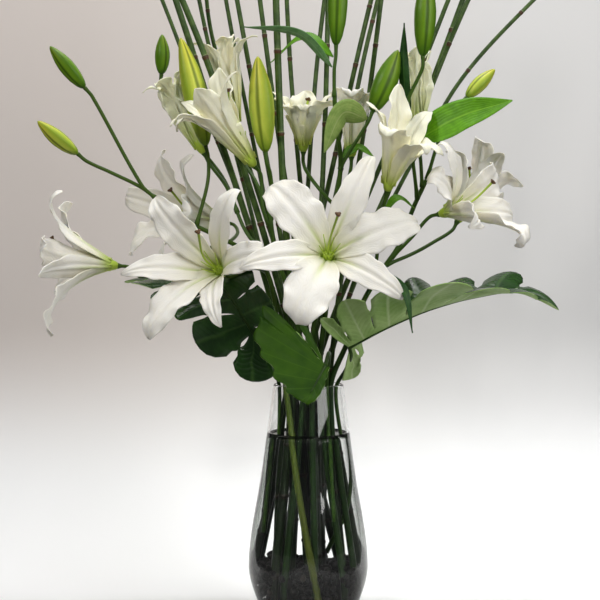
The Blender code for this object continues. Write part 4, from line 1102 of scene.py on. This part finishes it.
def tepal_line(shape):
    """Points of a tepal's middle line as (out, along, slope), where slope is its angle to the axis."""
    _, opening, reach, width, curl = shape
    opened = math.radians(opening)
    curled = math.radians(curl)
    tip = (reach * math.sin(opened), reach * math.cos(opened))
    outer = width < OUTER_WIDTH
    lean = math.radians(min(24.0, opening * 0.6) + (3.0 if outer else 0.0))
    start = 0.0058 if outer else 0.0035
    p0 = (start, 0.007)
    p1 = (start + 0.42 * reach * math.sin(lean), 0.007 + 0.42 * reach * math.cos(lean))
    p2 = (tip[0] - 0.34 * reach * math.sin(curled), tip[1] - 0.34 * reach * math.cos(curled))
    hook = math.radians(max(0.0, curl - 40) * 0.75)
    line = []
    out, along = p0
    last = 0.0
    for i in range(TEPAL_ROWS):
        t = i / (TEPAL_ROWS - 1)
        slopes = (-3 * (1 - t) ** 2, 3 * (1 - t) * (1 - 3 * t), 3 * t * (2 - 3 * t), 3 * t * t)
        d_out, d_along = (sum(w * p[k] for w, p in zip(slopes, (p0, p1, p2, tip))) for k in (0, 1))
        slope = math.atan2(d_out, d_along) + hook * ease(0.74, 1.05, t) ** 1.5
        speed = math.hypot(d_out, d_along) * (t - last)
        out += speed * math.sin(slope)
        along += speed * math.cos(slope)
        line.append((out, along, slope))
        last = t
    return line


def tepal_rows(base, axis, shape, draw):
    """The points and texture places of one tepal, row by row from the throat to the tip."""
    roll, _, _, width, _ = shape
    outer = width < OUTER_WIDTH
    axis, up, side = flower_frame(axis)
    angle = math.radians(roll)
    radial = math.cos(angle) * up + math.sin(angle) * side
    across = axis.cross(radial)
    waves = [(draw.uniform(2.2, 3.4), draw.uniform(0, 6.3), draw.uniform(5.5, 7.5)) for _ in range(2)]
    twist = draw.uniform(-0.20, 0.20)
    rows = []
    places = []
    for i, (out, along, slope) in enumerate(tepal_line(shape)):
        t = i / (TEPAL_ROWS - 1)
        tangent = radial * math.sin(slope) + axis * math.cos(slope)
        inward = tangent.cross(across)
        half = max(width / 2 * tepal_width(t, outer), 0.0005)
        wrap = min(max(half, 0.0012) / max(out, 0.003), 0.95)
        cup = out * (1 - math.cos(wrap)) * max(0.10, tangent.dot(axis))
        full = ease(0.25, 0.55, t) * (1 - 0.5 * ease(0.85, 1.0, t))
        ruffle = (0.0015 if outer else 0.0034) * full
        row = []
        spots = []
        for j in range(TEPAL_COLUMNS + 1):
            c = 2 * j / TEPAL_COLUMNS - 1
            speed, phase, fine = waves[0 if c < 0 else 1]
            ripple = ruffle * abs(c) ** 2.0 * math.sin(math.tau * speed * t + phase)
            ripple += 0.35 * ruffle * abs(c) ** 3 * math.sin(math.tau * fine * t + 2 * phase)
            swing = out * math.sin(wrap * c) if wrap * out > 0.6 * half else half * c
            groove = -0.0017 * math.exp(-(c / 0.11) ** 2) + 0.0011 * math.exp(-((abs(c) - 0.26) / 0.14) ** 2)
            groove *= min(1.0, half / 0.011) * (1 - ease(0.82, 1.0, t))
            edge = 1 + 0.05 * math.sin(math.tau * speed * 1.6 * t + 2 * phase) * ease(0.2, 0.5, t)
            lift = cup * abs(c) ** 1.6 + ripple + groove + twist * half * c * ease(0.3, 1.0, t)
            row.append(base + radial * out + axis * along + across * (swing * edge) + inward * lift)
            spots.append((0.5 + 0.5 * c, t))
        rows.append(row)
        places.append(spots)
    return rows, places


# %% Petal finish
def petal_material(name, throat, blush, edge):
    """Thin white petal: green throat, ivory on the way out, faint veins, light soaking through."""
    mat, tree, shader = new_material(name, 0.48)
    shader.inputs["Subsurface Weight"].default_value = 0.30
    shader.inputs["Subsurface Radius"].default_value = (1.0, 0.85, 0.60)
    shader.inputs["Subsurface Scale"].default_value = 0.004
    _, v = texture_place(tree)
    fade_along = use_group(tree, length_fade, Start=blush, End=edge, From=0.05, To=0.50)
    veins = use_group(tree, ribs, Count=15.0, Waver=0.5)
    middle = use_group(tree, midrib_mark, Middle=0.5, Width=0.11)
    patch = use_group(tree, mottle, Scale=70.0, Dark=(0.0, 0.0, 0.0), Light=(1.0, 1.0, 1.0), Contrast=0.4)
    veined = blend_colours(tree, calc(tree, "MULTIPLY", veins.outputs["Line"], 0.16), fade_along.outputs["Color"],
                           (0.62, 0.60, 0.46))
    clouds = calc(tree, "MULTIPLY", patch.outputs["Height"], 0.10)
    clouded = blend_colours(tree, clouds, veined, (0.80, 0.74, 0.62))
    near_throat = span(tree, v, 0.17, 0.02)
    stripe = calc(tree, "MULTIPLY", middle.outputs["Mask"], span(tree, v, 0.60, 0.10))
    green = calc(tree, "MAXIMUM", calc(tree, "MULTIPLY", near_throat, 0.85),
                 calc(tree, "MULTIPLY", stripe, 0.55))
    tree.links.new(blend_colours(tree, green, clouded, throat), shader.inputs["Base Color"])
    bump(tree, shader, calc(tree, "ADD", veins.outputs["Height"], patch.outputs["Height"]), 0.18, 0.0005)
    return mat


open_petal = petal_material("lily_petal", (0.40, 0.54, 0.05), (0.84, 0.81, 0.60), (0.92, 0.88, 0.79))
cream_petal = petal_material("cream_petal", (0.46, 0.58, 0.06), (0.82, 0.82, 0.36), (0.94, 0.91, 0.70))
young_petal = petal_material("young_petal", (0.40, 0.54, 0.08), (0.72, 0.78, 0.34), (0.90, 0.91, 0.66))

pistil_green, tree, shader = new_material("pistil_green", 0.35)
style_fade = use_group(tree, length_fade, Start=(0.40, 0.54, 0.06), End=(0.26, 0.36, 0.05),
                       From=0.02, To=0.08)
tree.links.new(style_fade.outputs["Color"], shader.inputs["Base Color"])
stigma_brown = mottled_material(
    "stigma_brown", 0.45, 700.0, (0.045, 0.020, 0.008), (0.16, 0.085, 0.035), relief=0.5)


# %% Lilies
STIGMA_SIDES = 24
# the stigma's rings from below: the radius of each and how far it stands past the style's end
STIGMA = ((0.0014, -0.0022), (0.0027, -0.0006), (0.0034, 0.0006), (0.0030, 0.0016), (0.0012, 0.0019))


def build_petals(name, base, axis, tepals, finish, draw):
    """The six tepals of a flower as one sheet."""
    surface = Surface()
    for shape in tepals:
        rows, places = tepal_rows(base, axis, shape, draw)
        surface.grid(rows, places)
    return surface.finish(f"{name}_petals", [finish], (name,), "petal_white", thickness=TEPAL_THICKNESS)


def build_heart(name, base, axis, pistil):
    """The seat, the pistil with its three-lobed tip, and six filaments with their anthers taken off."""
    ahead, up, side = flower_frame(axis)
    surface = Surface()
    seat = [base + ahead * d for d in (-0.001, 0.002, 0.006, 0.010, 0.014, 0.018)]
    surface.tube(seat, [0.0034, 0.0052, 0.0064, 0.0070, 0.0062, 0.0045], sides=18)
    style = smooth_path([base + ahead * 0.012, base + ahead * (0.6 * pistil) + up * (0.05 * pistil),
                         base + (ahead + 0.28 * up + 0.10 * side) * pistil], 8)
    thick = [0.0016 - 0.0004 * math.sin(math.pi * i / (len(style) - 1)) for i in range(len(style))]
    surface.tube(style, thick, sides=12)
    along = (style[-1] - style[-2]).normalized()
    first = along.orthogonal().normalized()
    second = along.cross(first)
    rows = []
    for radius, lift in STIGMA:
        row = []
        for i in range(STIGMA_SIDES):
            angle = math.tau * i / STIGMA_SIDES
            lobe = radius * (1 + 0.22 * math.cos(3 * angle))
            dip = -0.0004 * (1 - abs(math.cos(1.5 * angle)))
            outward = first * math.cos(angle) + second * math.sin(angle)
            row.append(style[-1] + outward * lobe + along * (lift + dip))
        rows.append(row)
    surface.closed_rings(rows, [[(i / STIGMA_SIDES, 0.1) for i in range(STIGMA_SIDES)]] * len(rows), 1, 1)
    for k in range(6):
        angle = math.radians(30 + 60 * k)
        away = math.cos(angle) * up + math.sin(angle) * side
        reach = pistil * (0.50 if k % 2 else 0.44)
        foot = base + ahead * 0.014 + away * 0.003
        knee = base + ahead * (0.55 * reach) + away * (0.13 * reach)
        end = base + ahead * reach + away * (0.30 * reach) + up * (0.10 * reach)
        filament = smooth_path([foot, knee, end], 7)
        surface.tube(filament, [0.0010 - 0.0005 * i / 14 for i in range(15)], sides=8)
    return surface.finish(f"{name}_heart", [pistil_green, stigma_brown], (name,), "petal_white")


draw = random.Random(37)
FINISHES = {"lily_opening": young_petal, "lily_small_left": young_petal, "lily_upper_left": cream_petal,
            "lily_top_left": cream_petal, "lily_centre": cream_petal, "lily_right_cup": cream_petal}
for name, (base, axis, pistil, tepals) in FLOWERS.items():
    finish = FINISHES.get(name, open_petal)
    petals = build_petals(name, Vector(base), axis, tepals, finish, draw)
    build_heart(name, Vector(base), axis, pistil)
    report(petals, name)

# %% [markdown]
# ## Buds
# A closed bud is six tepals pressed together, so it has three flat faces, a ridge along the middle of
# each outer tepal and a seam between them. The radius therefore changes on the way round as well as
# along. Young buds are green all over, and older ones turn cream between green ridges.

# %% Bud finish
def bud_material(name, ridge, skin, tip):
    """Bud skin: green ridges and base on a paler ground."""
    mat, tree, shader = new_material(name, 0.38)
    shader.inputs["Subsurface Weight"].default_value = 0.12
    shader.inputs["Subsurface Scale"].default_value = 0.003
    u, v = texture_place(tree)
    fade_along = use_group(tree, length_fade, Start=skin, End=tip, From=0.45, To=1.0)
    ridges = use_group(tree, midrib_mark, Middle=0.5, Width=0.42)
    patch = use_group(tree, mottle, Scale=260.0, Dark=(0.0, 0.0, 0.0), Light=(1.0, 1.0, 1.0), Contrast=0.3)
    lines = use_group(tree, ribs, Count=9.0, Waver=0.3)
    ridged = calc(tree, "MULTIPLY", ridges.outputs["Mask"], 0.8)
    green = calc(tree, "MAXIMUM", ridged, span(tree, v, 0.30, 0.0))
    speckle = calc(tree, "MULTIPLY", patch.outputs["Height"], 0.15)
    green = calc(tree, "MULTIPLY_ADD", green, 0.85, speckle)
    skinned = blend_colours(tree, green, fade_along.outputs["Color"], ridge)
    seam = calc(tree, "MULTIPLY", span(tree, u, 0.86, 0.98), 0.75)
    seamed = blend_colours(tree, seam, skinned, deeper(ridge, 0.45))
    tree.links.new(seamed, shader.inputs["Base Color"])
    bump(tree, shader, calc(tree, "ADD", patch.outputs["Height"], lines.outputs["Height"]), 0.15, 0.0004)
    return mat


green_bud = bud_material("green_bud", (0.045, 0.130, 0.004), (0.165, 0.315, 0.014), (0.22, 0.33, 0.02))
ripe_bud = bud_material("ripe_bud", (0.15, 0.27, 0.010), (0.60, 0.68, 0.090), (0.72, 0.66, 0.070))
RIPE = ("bud_left_large", "bud_centre_left", "bud_far_right", "bud_far_left_lower")
# a bud's radius along it: the share of its length, and the share of its greatest radius there
BUD_SHAPE = ((0.00, 0.20), (0.03, 0.40), (0.10, 0.62), (0.25, 0.88), (0.42, 0.99), (0.55, 0.99),
             (0.70, 0.84), (0.82, 0.62), (0.90, 0.44), (0.96, 0.27), (0.99, 0.14), (1.00, 0.05))


# %% Buds
BUD_STEPS = 30          # from the foot to the tip
FACE_STEPS = 12         # from one of the three ridges to the next, with a seam half way


def bud_radius(t):
    """The share of the bud's greatest radius at a share of its length."""
    for (t0, r0), (t1, r1) in zip(BUD_SHAPE, BUD_SHAPE[1:]):
        if t <= t1:
            return r0 + (r1 - r0) * (t - t0) / (t1 - t0)
    return BUD_SHAPE[-1][1]


def build_bud(name, base, tip, radius, draw):
    """One bud with three ridges and three seams."""
    surface = Surface()
    base = Vector(base)
    axis = Vector(tip) - base
    first = axis.orthogonal().normalized()
    second = axis.normalized().cross(first)
    spin = draw.uniform(0, math.tau)
    bend = draw.uniform(0.01, 0.03) * axis.length
    rows = []
    places = []
    for i in range(BUD_STEPS + 1):
        t = i / BUD_STEPS
        half = radius * bud_radius(t)
        centre = base + axis * t + first * (bend * math.sin(math.pi * t) * 0.3)
        row = []
        spots = []
        for k in range(3 * FACE_STEPS):
            angle = math.tau * k / (3 * FACE_STEPS)
            step = k % FACE_STEPS
            past_ridge = min(step, FACE_STEPS - step)
            past_seam = FACE_STEPS / 2 - past_ridge
            ridge = 0.05 * math.cos(3 * angle) + 0.045 * math.exp(-(past_ridge / 0.9) ** 2)
            seam = -0.07 * math.exp(-(past_seam / 0.7) ** 2) * ease(0.2, 0.6, t)
            r = half * (0.97 + ridge + seam)
            row.append(centre + first * (r * math.cos(angle + spin)) + second * (r * math.sin(angle + spin)))
            spots.append((0.5 + past_ridge / FACE_STEPS, t))
        rows.append(row)
        places.append(spots)
    surface.closed_rings(rows, places)
    return surface.finish(f"{name}_skin", [ripe_bud if name in RIPE else green_bud], (name,), "bud_green")


draw = random.Random(41)
for name, (base, tip, radius) in BUDS.items():
    bud = build_bud(name, base, tip, radius, draw)
    report(bud, name)

# %% [markdown]
# ## Lily leaves
# A lily leaf is a long lance with veins that all run from its foot to its tip. It starts just beside the
# stem, so the first point is found on the stem's curve. The sheet folds a little along its middle.

# %% Lily leaf shape
LEAF_GAP = 0.0008       # from the stem's skin to the leaf's foot
LEAF_COLUMNS = 12       # from edge to edge


def stem_runs(name):
    """Every run of a lily stem, as points with the radius at each."""
    main, sides = LILY_STEMS[name]
    path = smooth_path(main, 2)
    runs = [(path, [STEM_RADIUS * (1 - STEM_TAPER * i / (len(path) - 1)) for i in range(len(path))])]
    for knots, carried in sides:
        path = smooth_path([*knots, *flower_seat(carried)], 2)
        runs.append((path, [PEDICEL_RADIUS] * len(path)))
    return runs


def beside(run, height, toward):
    """A point that just clears a stem at a height, on the side that faces a place."""
    path, radii = run
    for a, b, radius in zip(path, path[1:], radii):
        if a.z <= height <= b.z:
            centre = a.lerp(b, (height - a.z) / (b.z - a.z))
            tangent = (b - a).normalized()
            away = Vector(toward) - centre
            away = (away - tangent * away.dot(tangent)).normalized()
            return centre + away * (radius + LEAF_GAP)
    raise ValueError("no such height on the stem")


# %% Leaf finish
def leaf_material(name, dark, light, vein, gloss, count):
    """Green leaf with fine lines along it and a paler middle."""
    mat, tree, shader = new_material(name, gloss)
    patch = use_group(tree, mottle, Scale=110.0, Dark=dark, Light=light, Contrast=0.35)
    lines = use_group(tree, ribs, Count=count, Waver=0.15)
    middle = use_group(tree, midrib_mark, Middle=0.5, Width=0.05)
    ruled = blend_colours(tree, calc(tree, "MULTIPLY", lines.outputs["Line"], 0.30), patch.outputs["Color"],
                          deeper(dark, 0.5))
    tree.links.new(blend_colours(tree, calc(tree, "MULTIPLY", middle.outputs["Mask"], 0.6), ruled, vein),
                   shader.inputs["Base Color"])
    bump(tree, shader, calc(tree, "SUBTRACT", lines.outputs["Height"], middle.outputs["Mask"]), 0.35, 0.0004)
    return mat


dark_leaf = leaf_material("dark_lily_leaf", (0.010, 0.045, 0.010), (0.030, 0.100, 0.016), (0.07, 0.16, 0.03),
                          0.38, 9.0)
fresh_leaf = leaf_material("fresh_lily_leaf", (0.070, 0.215, 0.002), (0.130, 0.360, 0.005),
                           (0.20, 0.43, 0.02), 0.42, 11.0)
soft_leaf = leaf_material("soft_lily_leaf", (0.08, 0.21, 0.06), (0.20, 0.38, 0.16), (0.34, 0.52, 0.28),
                          0.42, 9.0)
pale_leaf = leaf_material("pale_lily_leaf", (0.20, 0.33, 0.07), (0.36, 0.48, 0.14), (0.46, 0.55, 0.22),
                          0.45, 9.0)
LEAF_FINISH = {"leaf_right_dark": dark_leaf, "leaf_right_narrow": dark_leaf, "leaf_top_long": soft_leaf,
               "leaf_centre_pale": pale_leaf}


# %% Lily leaves
def build_lily_leaf(name, stem, run, height, knots, width, lean, draw):
    """One lance-shaped leaf, seated beside its stem."""
    path = smooth_path([beside(stem_runs(stem)[run], height, knots[0]), *knots], 14)
    turn = math.radians(lean)
    phase = draw.uniform(0, 6.3)
    rows = []
    places = []
    for i, (centre, tangent) in enumerate(zip(path, tangents(path))):
        t = i / (len(path) - 1)
        level = tangent.cross(Vector((0, 0, 1))).normalized()
        upright = level.cross(tangent)
        across = level * math.cos(turn) + upright * math.sin(turn)
        face = upright * math.cos(turn) - level * math.sin(turn)
        half = max(0.0007, width / 2 * math.sin(math.pi * t**0.8) ** 0.85 if 0 < t < 1 else 0)
        row = []
        spots = []
        for j in range(LEAF_COLUMNS + 1):
            c = 2 * j / LEAF_COLUMNS - 1
            wave = 0.05 * half * math.sin(math.tau * 2.2 * t + phase + (2 if c > 0 else 0)) * abs(c) ** 2
            row.append(centre + across * (half * c) + face * (0.18 * half * abs(c) ** 1.3 + wave))
            spots.append((0.5 + 0.5 * c, t))
        rows.append(row)
        places.append(spots)
    surface = Surface()
    surface.grid(rows, places)
    return surface.finish(f"{name}_blade", [LEAF_FINISH.get(name, fresh_leaf)], (name,), "leaf_green",
                          thickness=0.0006)


draw = random.Random(43)
for name, (stem, run, height, knots, width, lean) in LILY_LEAVES.items():
    leaf = build_lily_leaf(name, stem, run, height, knots, width, lean, draw)
    report(leaf, name)

# %% [markdown]
# ## Monstera leaves
# A monstera blade is parted into lobes that stay joined near the rib, with slits left between them. It
# is built lobe by lobe: each is a fan of points between two lines that leave the rib, narrowed where a
# slit opens. Neighbours share points wherever they are joined, so the blade welds into one sheet.

# %% Blade shape
LOBE_STEPS = 24         # from the rib to the margin
LOBE_COLUMNS = 8        # from one line to the next
RIPPLE = 0.0013         # how far a lobe's margin ripples


def slit(v):
    """How far apart two lobes stand at a share v of the way to the margin, from 0 to 1."""
    return max(0.8 * ease(0.14, 0.24, v) * (1 - ease(0.40, 0.50, v)), ease(0.60, 0.74, v))


def blade_frames(leaf):
    """The rib's points with the direction and the face's direction at each, and its length."""
    path = smooth_path(leaf["midrib"], 6)
    frames = []
    for i, tangent in enumerate(tangents(path)):
        look = Vector(leaf["faces"][0]).lerp(Vector(leaf["faces"][1]), i / (len(path) - 1))
        frames.append((tangent, (look - tangent * tangent.dot(look)).normalized()))
    return path, frames, lengths(path)[-1]


def blade_point(blade, along, across, side, folds, droop, lift):
    """A point of a blade from its distance along the rib and its distance out from it."""
    path, frames, length = blade
    place = max(0.0, along / length * (len(path) - 1))
    i = min(int(place), len(path) - 2)
    t = min(place - i, 1.0)
    centre = path[i].lerp(path[i + 1], t)
    tangent, face = (frames[i][k].lerp(frames[i + 1][k], t).normalized() for k in (0, 1))
    if along < 0:
        centre = path[0] + frames[0][0] * along
    share = along / length
    fold = math.radians(folds[0] * ease(0.02, 0.10, share) + (folds[1] - folds[0]) * ease(0.35, 0.65, share))
    flat = tangent.cross(face) * side
    out = flat * math.cos(fold) + face * math.sin(fold)
    above = face * math.cos(fold) - flat * math.sin(fold)
    bend = math.radians(droop) * across / 0.09
    return centre + out * (across * math.cos(bend / 2)) + above * (lift - across * math.sin(bend / 2))


def lobe_rows(blade, low, high, side, folds, droop, arch, ends, draw):
    """The points and texture places of one lobe, between two lines, from the rib to the margin."""
    length = blade[2]
    parted = low[3] or high[3]
    bow = 1.06 * max(low[2], high[2]) if parted else 0.496 * (low[2] + high[2])
    if ends[1]:
        bow = 0.90 * low[2]
    phase = draw.uniform(0, 6.3)
    rows = []
    places = []
    for r in range(LOBE_STEPS + 1):
        v = r / LOBE_STEPS
        row = []
        spots = []
        for c in range(LOBE_COLUMNS + 1):
            f = c / LOBE_COLUMNS
            start = low[0] + (high[0] - low[0]) * f
            low_turn = low[1] - (0 if ends[0] else low[3] * slit(v))
            high_turn = high[1] + (0 if ends[1] else high[3] * slit(v))
            turn = math.radians(low_turn + (high_turn - low_turn) * f)
            size = (low[2] + (high[2] - low[2]) * f) * (1 - 4 * f * (1 - f)) + bow * 4 * f * (1 - f)
            if parted:
                size *= 1 - 0.06 * abs(2 * f - 1) ** 4 * ease(0.6, 1.0, v)
            out = size * v
            lift = math.sin(math.pi * f) * (arch * ease(0.05, 0.6, v) + RIPPLE * v * math.sin(5 * v + phase))
            row.append(blade_point(blade, start * length + out * math.cos(turn), out * math.sin(turn), side,
                                   folds, droop, lift))
            spots.append((f, v))
        rows.append(row if side > 0 else list(reversed(row)))
        places.append(spots if side > 0 else list(reversed(spots)))
    return rows, places


def blade_grids(leaf, draw):
    """Grids of points, one for each lobe of the blade."""
    blade = blade_frames(leaf)
    grids = []
    for side, (folds, droop, lines) in zip((1, -1), leaf["sides"]):
        end = (TIP_START, 0, (1 - TIP_START) * blade[2], 0)
        for k, (low, high) in enumerate(zip(lines, (*lines[1:], end))):
            ends = (k == 0, k + 1 == len(lines))
            grids.append(lobe_rows(blade, low, high, side, folds, droop, leaf["arch"], ends, draw))
    return blade[0], grids


# %% Monstera finish
def monstera_material(name, dark, light, vein, gloss, relief=0.22):
    """Glossy blade: a pale vein down each lobe and side veins that leave it at a slant."""
    mat, tree, shader = new_material(name, gloss)
    shader.inputs["Specular IOR Level"].default_value = 0.5 if gloss < 0.3 else 0.15
    u, v = texture_place(tree)
    patch = use_group(tree, mottle, Scale=38.0, Dark=dark, Light=light, Contrast=0.3)
    middle = use_group(tree, midrib_mark, Middle=0.5, Width=0.07)
    away = calc(tree, "ABSOLUTE", calc(tree, "SUBTRACT", u, 0.5))
    rows = calc(tree, "MULTIPLY_ADD", away, -5.0, calc(tree, "MULTIPLY", v, 9.0))
    slant = calc(tree, "PINGPONG", rows, 0.5)
    side_vein = calc(tree, "MULTIPLY", span(tree, slant, 0.07, 0.0), 0.14)
    lines = calc(tree, "MAXIMUM", calc(tree, "MULTIPLY", middle.outputs["Mask"], 0.60), side_vein)
    tree.links.new(blend_colours(tree, lines, patch.outputs["Color"], vein), shader.inputs["Base Color"])
    puff = calc(tree, "SUBTRACT", span(tree, slant, 0.0, 0.4), middle.outputs["Mask"])
    bump(tree, shader, puff, relief, 0.0006)
    return mat


bright_monstera = monstera_material(
    "bright_monstera", (0.016, 0.056, 0.001), (0.038, 0.105, 0.002), (0.05, 0.13, 0.005), 0.48, 0.08)
deep_monstera = monstera_material(
    "deep_monstera", (0.008, 0.034, 0.005), (0.024, 0.080, 0.011), (0.055, 0.13, 0.025), 0.24)
pale_underside = monstera_material(
    "pale_underside", (0.22, 0.38, 0.09), (0.42, 0.58, 0.22), (0.56, 0.68, 0.36), 0.55, 0.30)
petiole_green = mottled_material(
    "petiole_green", 0.32, 120.0, (0.014, 0.040, 0.005), (0.036, 0.078, 0.010))


# %% Monstera leaves
def build_monstera(name, leaf, finish, draw):
    """One monstera leaf: the blade welded from its lobes, and the stalk that runs on as its rib."""
    path, grids = blade_grids(leaf, draw)
    surface = Surface()
    for rows, places in grids:
        surface.grid(rows, places)
    blade = surface.finish(f"{name}_blade", [pale_underside, finish], (name,), "monstera_green",
                           thickness=0.0009, face=1)
    work = bmesh.new()
    work.from_mesh(blade.data)
    bmesh.ops.remove_doubles(work, verts=work.verts, dist=0.00005)
    work.to_mesh(blade.data)
    work.free()
    blade.data.shade_smooth()
    stalk = Surface()
    petiole = smooth_path([*leaf["petiole"], leaf["midrib"][0]], 12)
    rib = path[1:-3]
    both = [*petiole, *rib]
    radii = [0.0023] * len(petiole) + [0.0017 - 0.0011 * i / len(rib) for i in range(len(rib))]
    stalk.tube(both, radii, sides=14, ends=1)
    stalk.finish(f"{name}_stalk", [petiole_green, cut_end], (name,), "monstera_green")
    report(blade, name)


draw = random.Random(47)
for name, leaf in MONSTERAS.items():
    build_monstera(name, leaf, bright_monstera if name == "monstera_front" else deep_monstera, draw)
